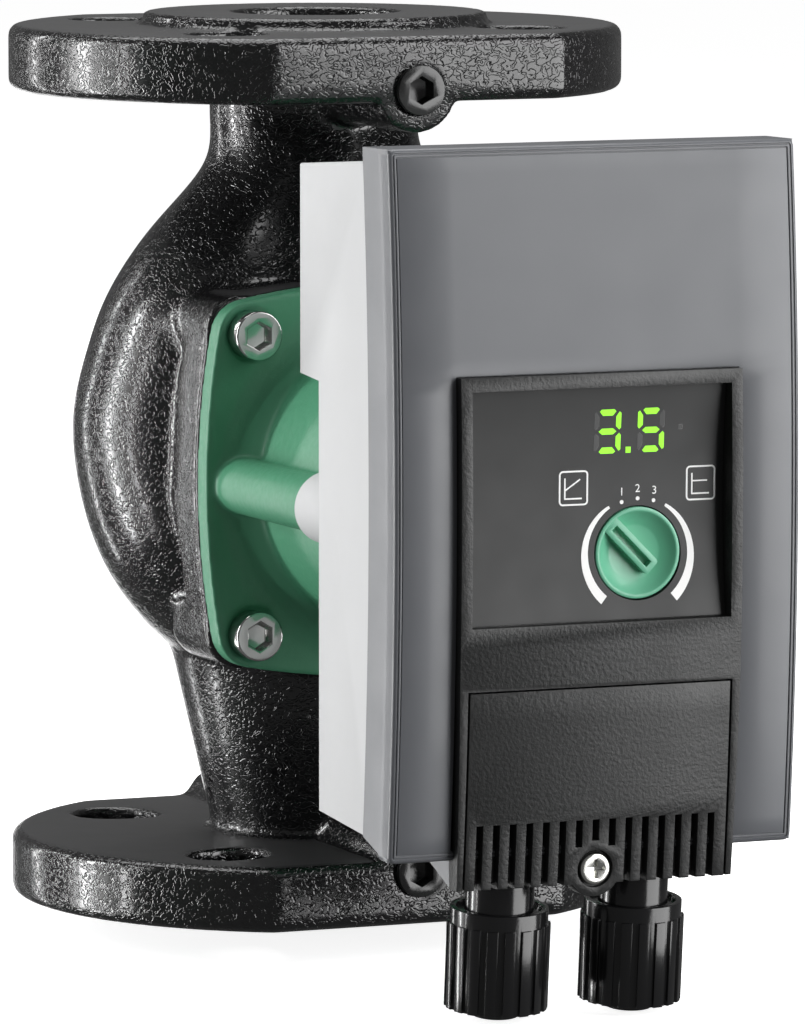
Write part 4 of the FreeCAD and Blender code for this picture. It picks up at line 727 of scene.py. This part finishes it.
def make_pointer(front):
    """The knob's slotted ridge, from outlines of (ahead, across) the pointer."""
    turn = math.radians(POINTER_TURN)
    work = bmesh.new()

    def ring(outline, deep):
        return [work.verts.new((
            (KNOB[0] - math.sin(turn) * ahead + math.cos(turn) * across) * MM,
            (front + deep) * MM,
            (KNOB[1] + math.cos(turn) * ahead + math.sin(turn) * across) * MM))
            for ahead, across in outline]

    top = ring(RIDGE_OUTLINE, 0.0)
    foot = ring(RIDGE_OUTLINE, RIDGE_DEEP)
    lip = ring(SLOT_OUTLINE, 0.0)
    floor = ring(SLOT_OUTLINE, SLOT_DEEP)
    add_wall(work, top, foot)
    add_wall(work, lip, floor)
    work.faces.new(foot)
    work.faces.new(floor)
    edges = [work.edges.get((loop[i - 1], loop[i])) for loop in (top, lip)
             for i in range(len(loop))]
    bmesh.ops.triangle_fill(work, use_beauty=True, edges=edges)
    return with_modifiers(closed(work, "ridge"), (
        "BEVEL", {"width": 0.14 * MM, "segments": 2, "limit_method": "ANGLE"}))


def make_knob():
    """Dished knob with a slotted pointer ridge, on its spindle."""
    low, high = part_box("control_knob")
    front = low.y / MM
    length = high.y / MM - front
    profile = [(0.01, 2.45), (6.0, 2.4), (6.6, 2.2), (9.2, 0.55), (9.55, 0.1), (9.75, 0.0),
               (10.3, 0.0), (10.52, 0.12), (KNOB_RADIUS, 0.4), (KNOB_RADIUS, KNOB_DEPTH),
               (SPINDLE_RADIUS, KNOB_DEPTH), (SPINDLE_RADIUS, length), (0.01, length)]
    dish = turned_shell([(radius, front + deep) for radius, deep in profile], KNOB)
    stand_for("control_knob", shade(joined(dish, make_pointer(front)), 30))


make_knob()


# ---------------------------------------------------------------- edges and other looks
EDGES = (("motor_bolts", 0.45, 3), ("gauge_plugs", 0.3, 2), ("module_housing", 0.35, 2),
         ("control_panel", 0.2, 2), ("terminal_lid", 0.18, 2), ("lid_screw", 0.15, 2),
         ("gland_body_left", 0.2, 2), ("gland_body_right", 0.2, 2), ("gland_nut_left", 0.15, 2),
         ("gland_nut_right", 0.15, 2), ("module_screws", 0.2, 2))

for node, width, segments in EDGES:
    stand_for(node, bevelled(node, width, segments))

for node, thing in frame["nodes"].items():
    thing.data.materials.clear()
    thing.data.materials.append(LOOKS[SLOT_OF[node]])
    shade(thing.data)


# ---------------------------------------------------------------- stage, light and camera
# The floor's gap is in millimetres and its reach in metres.
FLOOR_GAP, FLOOR_REACH, FLOOR_GLOW = 0.4, 6.0, 0.85
WHITE = (1, 1, 1, 1)
WORLD_STRENGTH = 0.14

# Softboxes around the pump: name, size, watts, azimuth from the front, height and distance.
# The narrow ones draw the bright streaks on the black casting. Sizes are in metres.
LIGHTS = (
    ("front_right_box", (1.4, 1.7), 38, 43, 0.45, 1.6),
    ("left_broad_box", (0.5, 1.3), 4.5, -115, 0.12, 1.25),
    ("left_strip", (0.09, 1.3), 9, -117, 0.12, 1.15),
    ("rear_left_strip", (0.08, 1.3), 3.2, -150, 0.12, 1.2),
    ("side_strip", (0.03, 1.3), 3.5, -97, 0.12, 1.2),
    ("rear_low_box", (0.35, 0.6), 1.2, 166, -0.25, 1.4),
    ("top_box", (1.6, 1.6), 26, 180, 1.7, 0.4),
)
LIGHT_TARGET = (0.0, -0.05, 0.1)

# The camera, in metres and degrees.
CAMERA_TARGET = (0.023292, 0, 0.095625)
CAMERA_AZIMUTH, CAMERA_RISE, CAMERA_AWAY = -23.037, 6.121, 2.14903
CAMERA_LENS, CAMERA_SENSOR = 305.6, 36


def around(azimuth):
    """The level direction at an azimuth in degrees, counted from the front."""
    turn = math.radians(azimuth)
    return Vector((math.sin(turn), -math.cos(turn), 0))


def make_stage():
    """Plain pale floor that runs far behind the object."""
    mesh = bpy.data.meshes.new("floor")
    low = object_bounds()[0][2] - FLOOR_GAP * MM
    mesh.from_pydata([(x * FLOOR_REACH, y * FLOOR_REACH, low)
                      for x, y in ((-1, -1), (1, -1), (1, 1), (-1, 1))], [], [(0, 1, 2, 3)])
    look = Look("floor_paint", (0.9, 0.9, 0.9), 0.7)
    look.shader.inputs["Emission Color"].default_value = WHITE
    look.shader.inputs["Emission Strength"].default_value = FLOOR_GLOW
    look.bump(look.noise(120, detail=3.0), 0.02)
    floor = bpy.data.objects.new("floor", mesh)
    bpy.context.scene.collection.objects.link(floor)
    mesh.materials.append(look.material)
    floor.visible_diffuse = False
    floor.visible_glossy = False
    floor.visible_shadow = False


def add_light(name, size, power, azimuth, height, away):
    """A rectangular softbox aimed at the pump."""
    lamp = bpy.data.lights.new(name, "AREA")
    lamp.shape = "RECTANGLE"
    lamp.size, lamp.size_y = size
    lamp.energy = power
    thing = bpy.data.objects.new(name, lamp)
    bpy.context.scene.collection.objects.link(thing)
    thing.location = around(azimuth) * away + Vector((0, 0, height))
    aim = Vector(LIGHT_TARGET) - thing.location
    thing.rotation_euler = aim.to_track_quat("-Z", "Y").to_euler()


def make_world():
    """Faint even light from everywhere."""
    world = bpy.data.worlds.new("studio")
    world.use_nodes = True
    background = world.node_tree.nodes["Background"]
    background.inputs["Color"].default_value = WHITE
    background.inputs["Strength"].default_value = WORLD_STRENGTH
    bpy.context.scene.world = world
    bpy.context.scene.view_settings.view_transform = "Standard"


def make_camera():
    """Camera at the photograph's viewing angle."""
    rise = math.radians(CAMERA_RISE)
    back = around(CAMERA_AZIMUTH) * math.cos(rise) + Vector((0, 0, math.sin(rise)))
    data = bpy.data.cameras.new("camera")
    data.sensor_fit = "AUTO"
    data.sensor_width = CAMERA_SENSOR
    data.lens = CAMERA_LENS
    data.clip_start = 0.05
    data.clip_end = 50
    camera = bpy.data.objects.new("camera", data)
    bpy.context.scene.collection.objects.link(camera)
    camera.location = Vector(CAMERA_TARGET) + back * CAMERA_AWAY
    camera.rotation_euler = back.to_track_quat("Z", "Y").to_euler()
    bpy.context.scene.camera = camera


make_stage()
make_world()
make_camera()
for light in LIGHTS:
    add_light(*light)

bpy.context.view_layer.update()
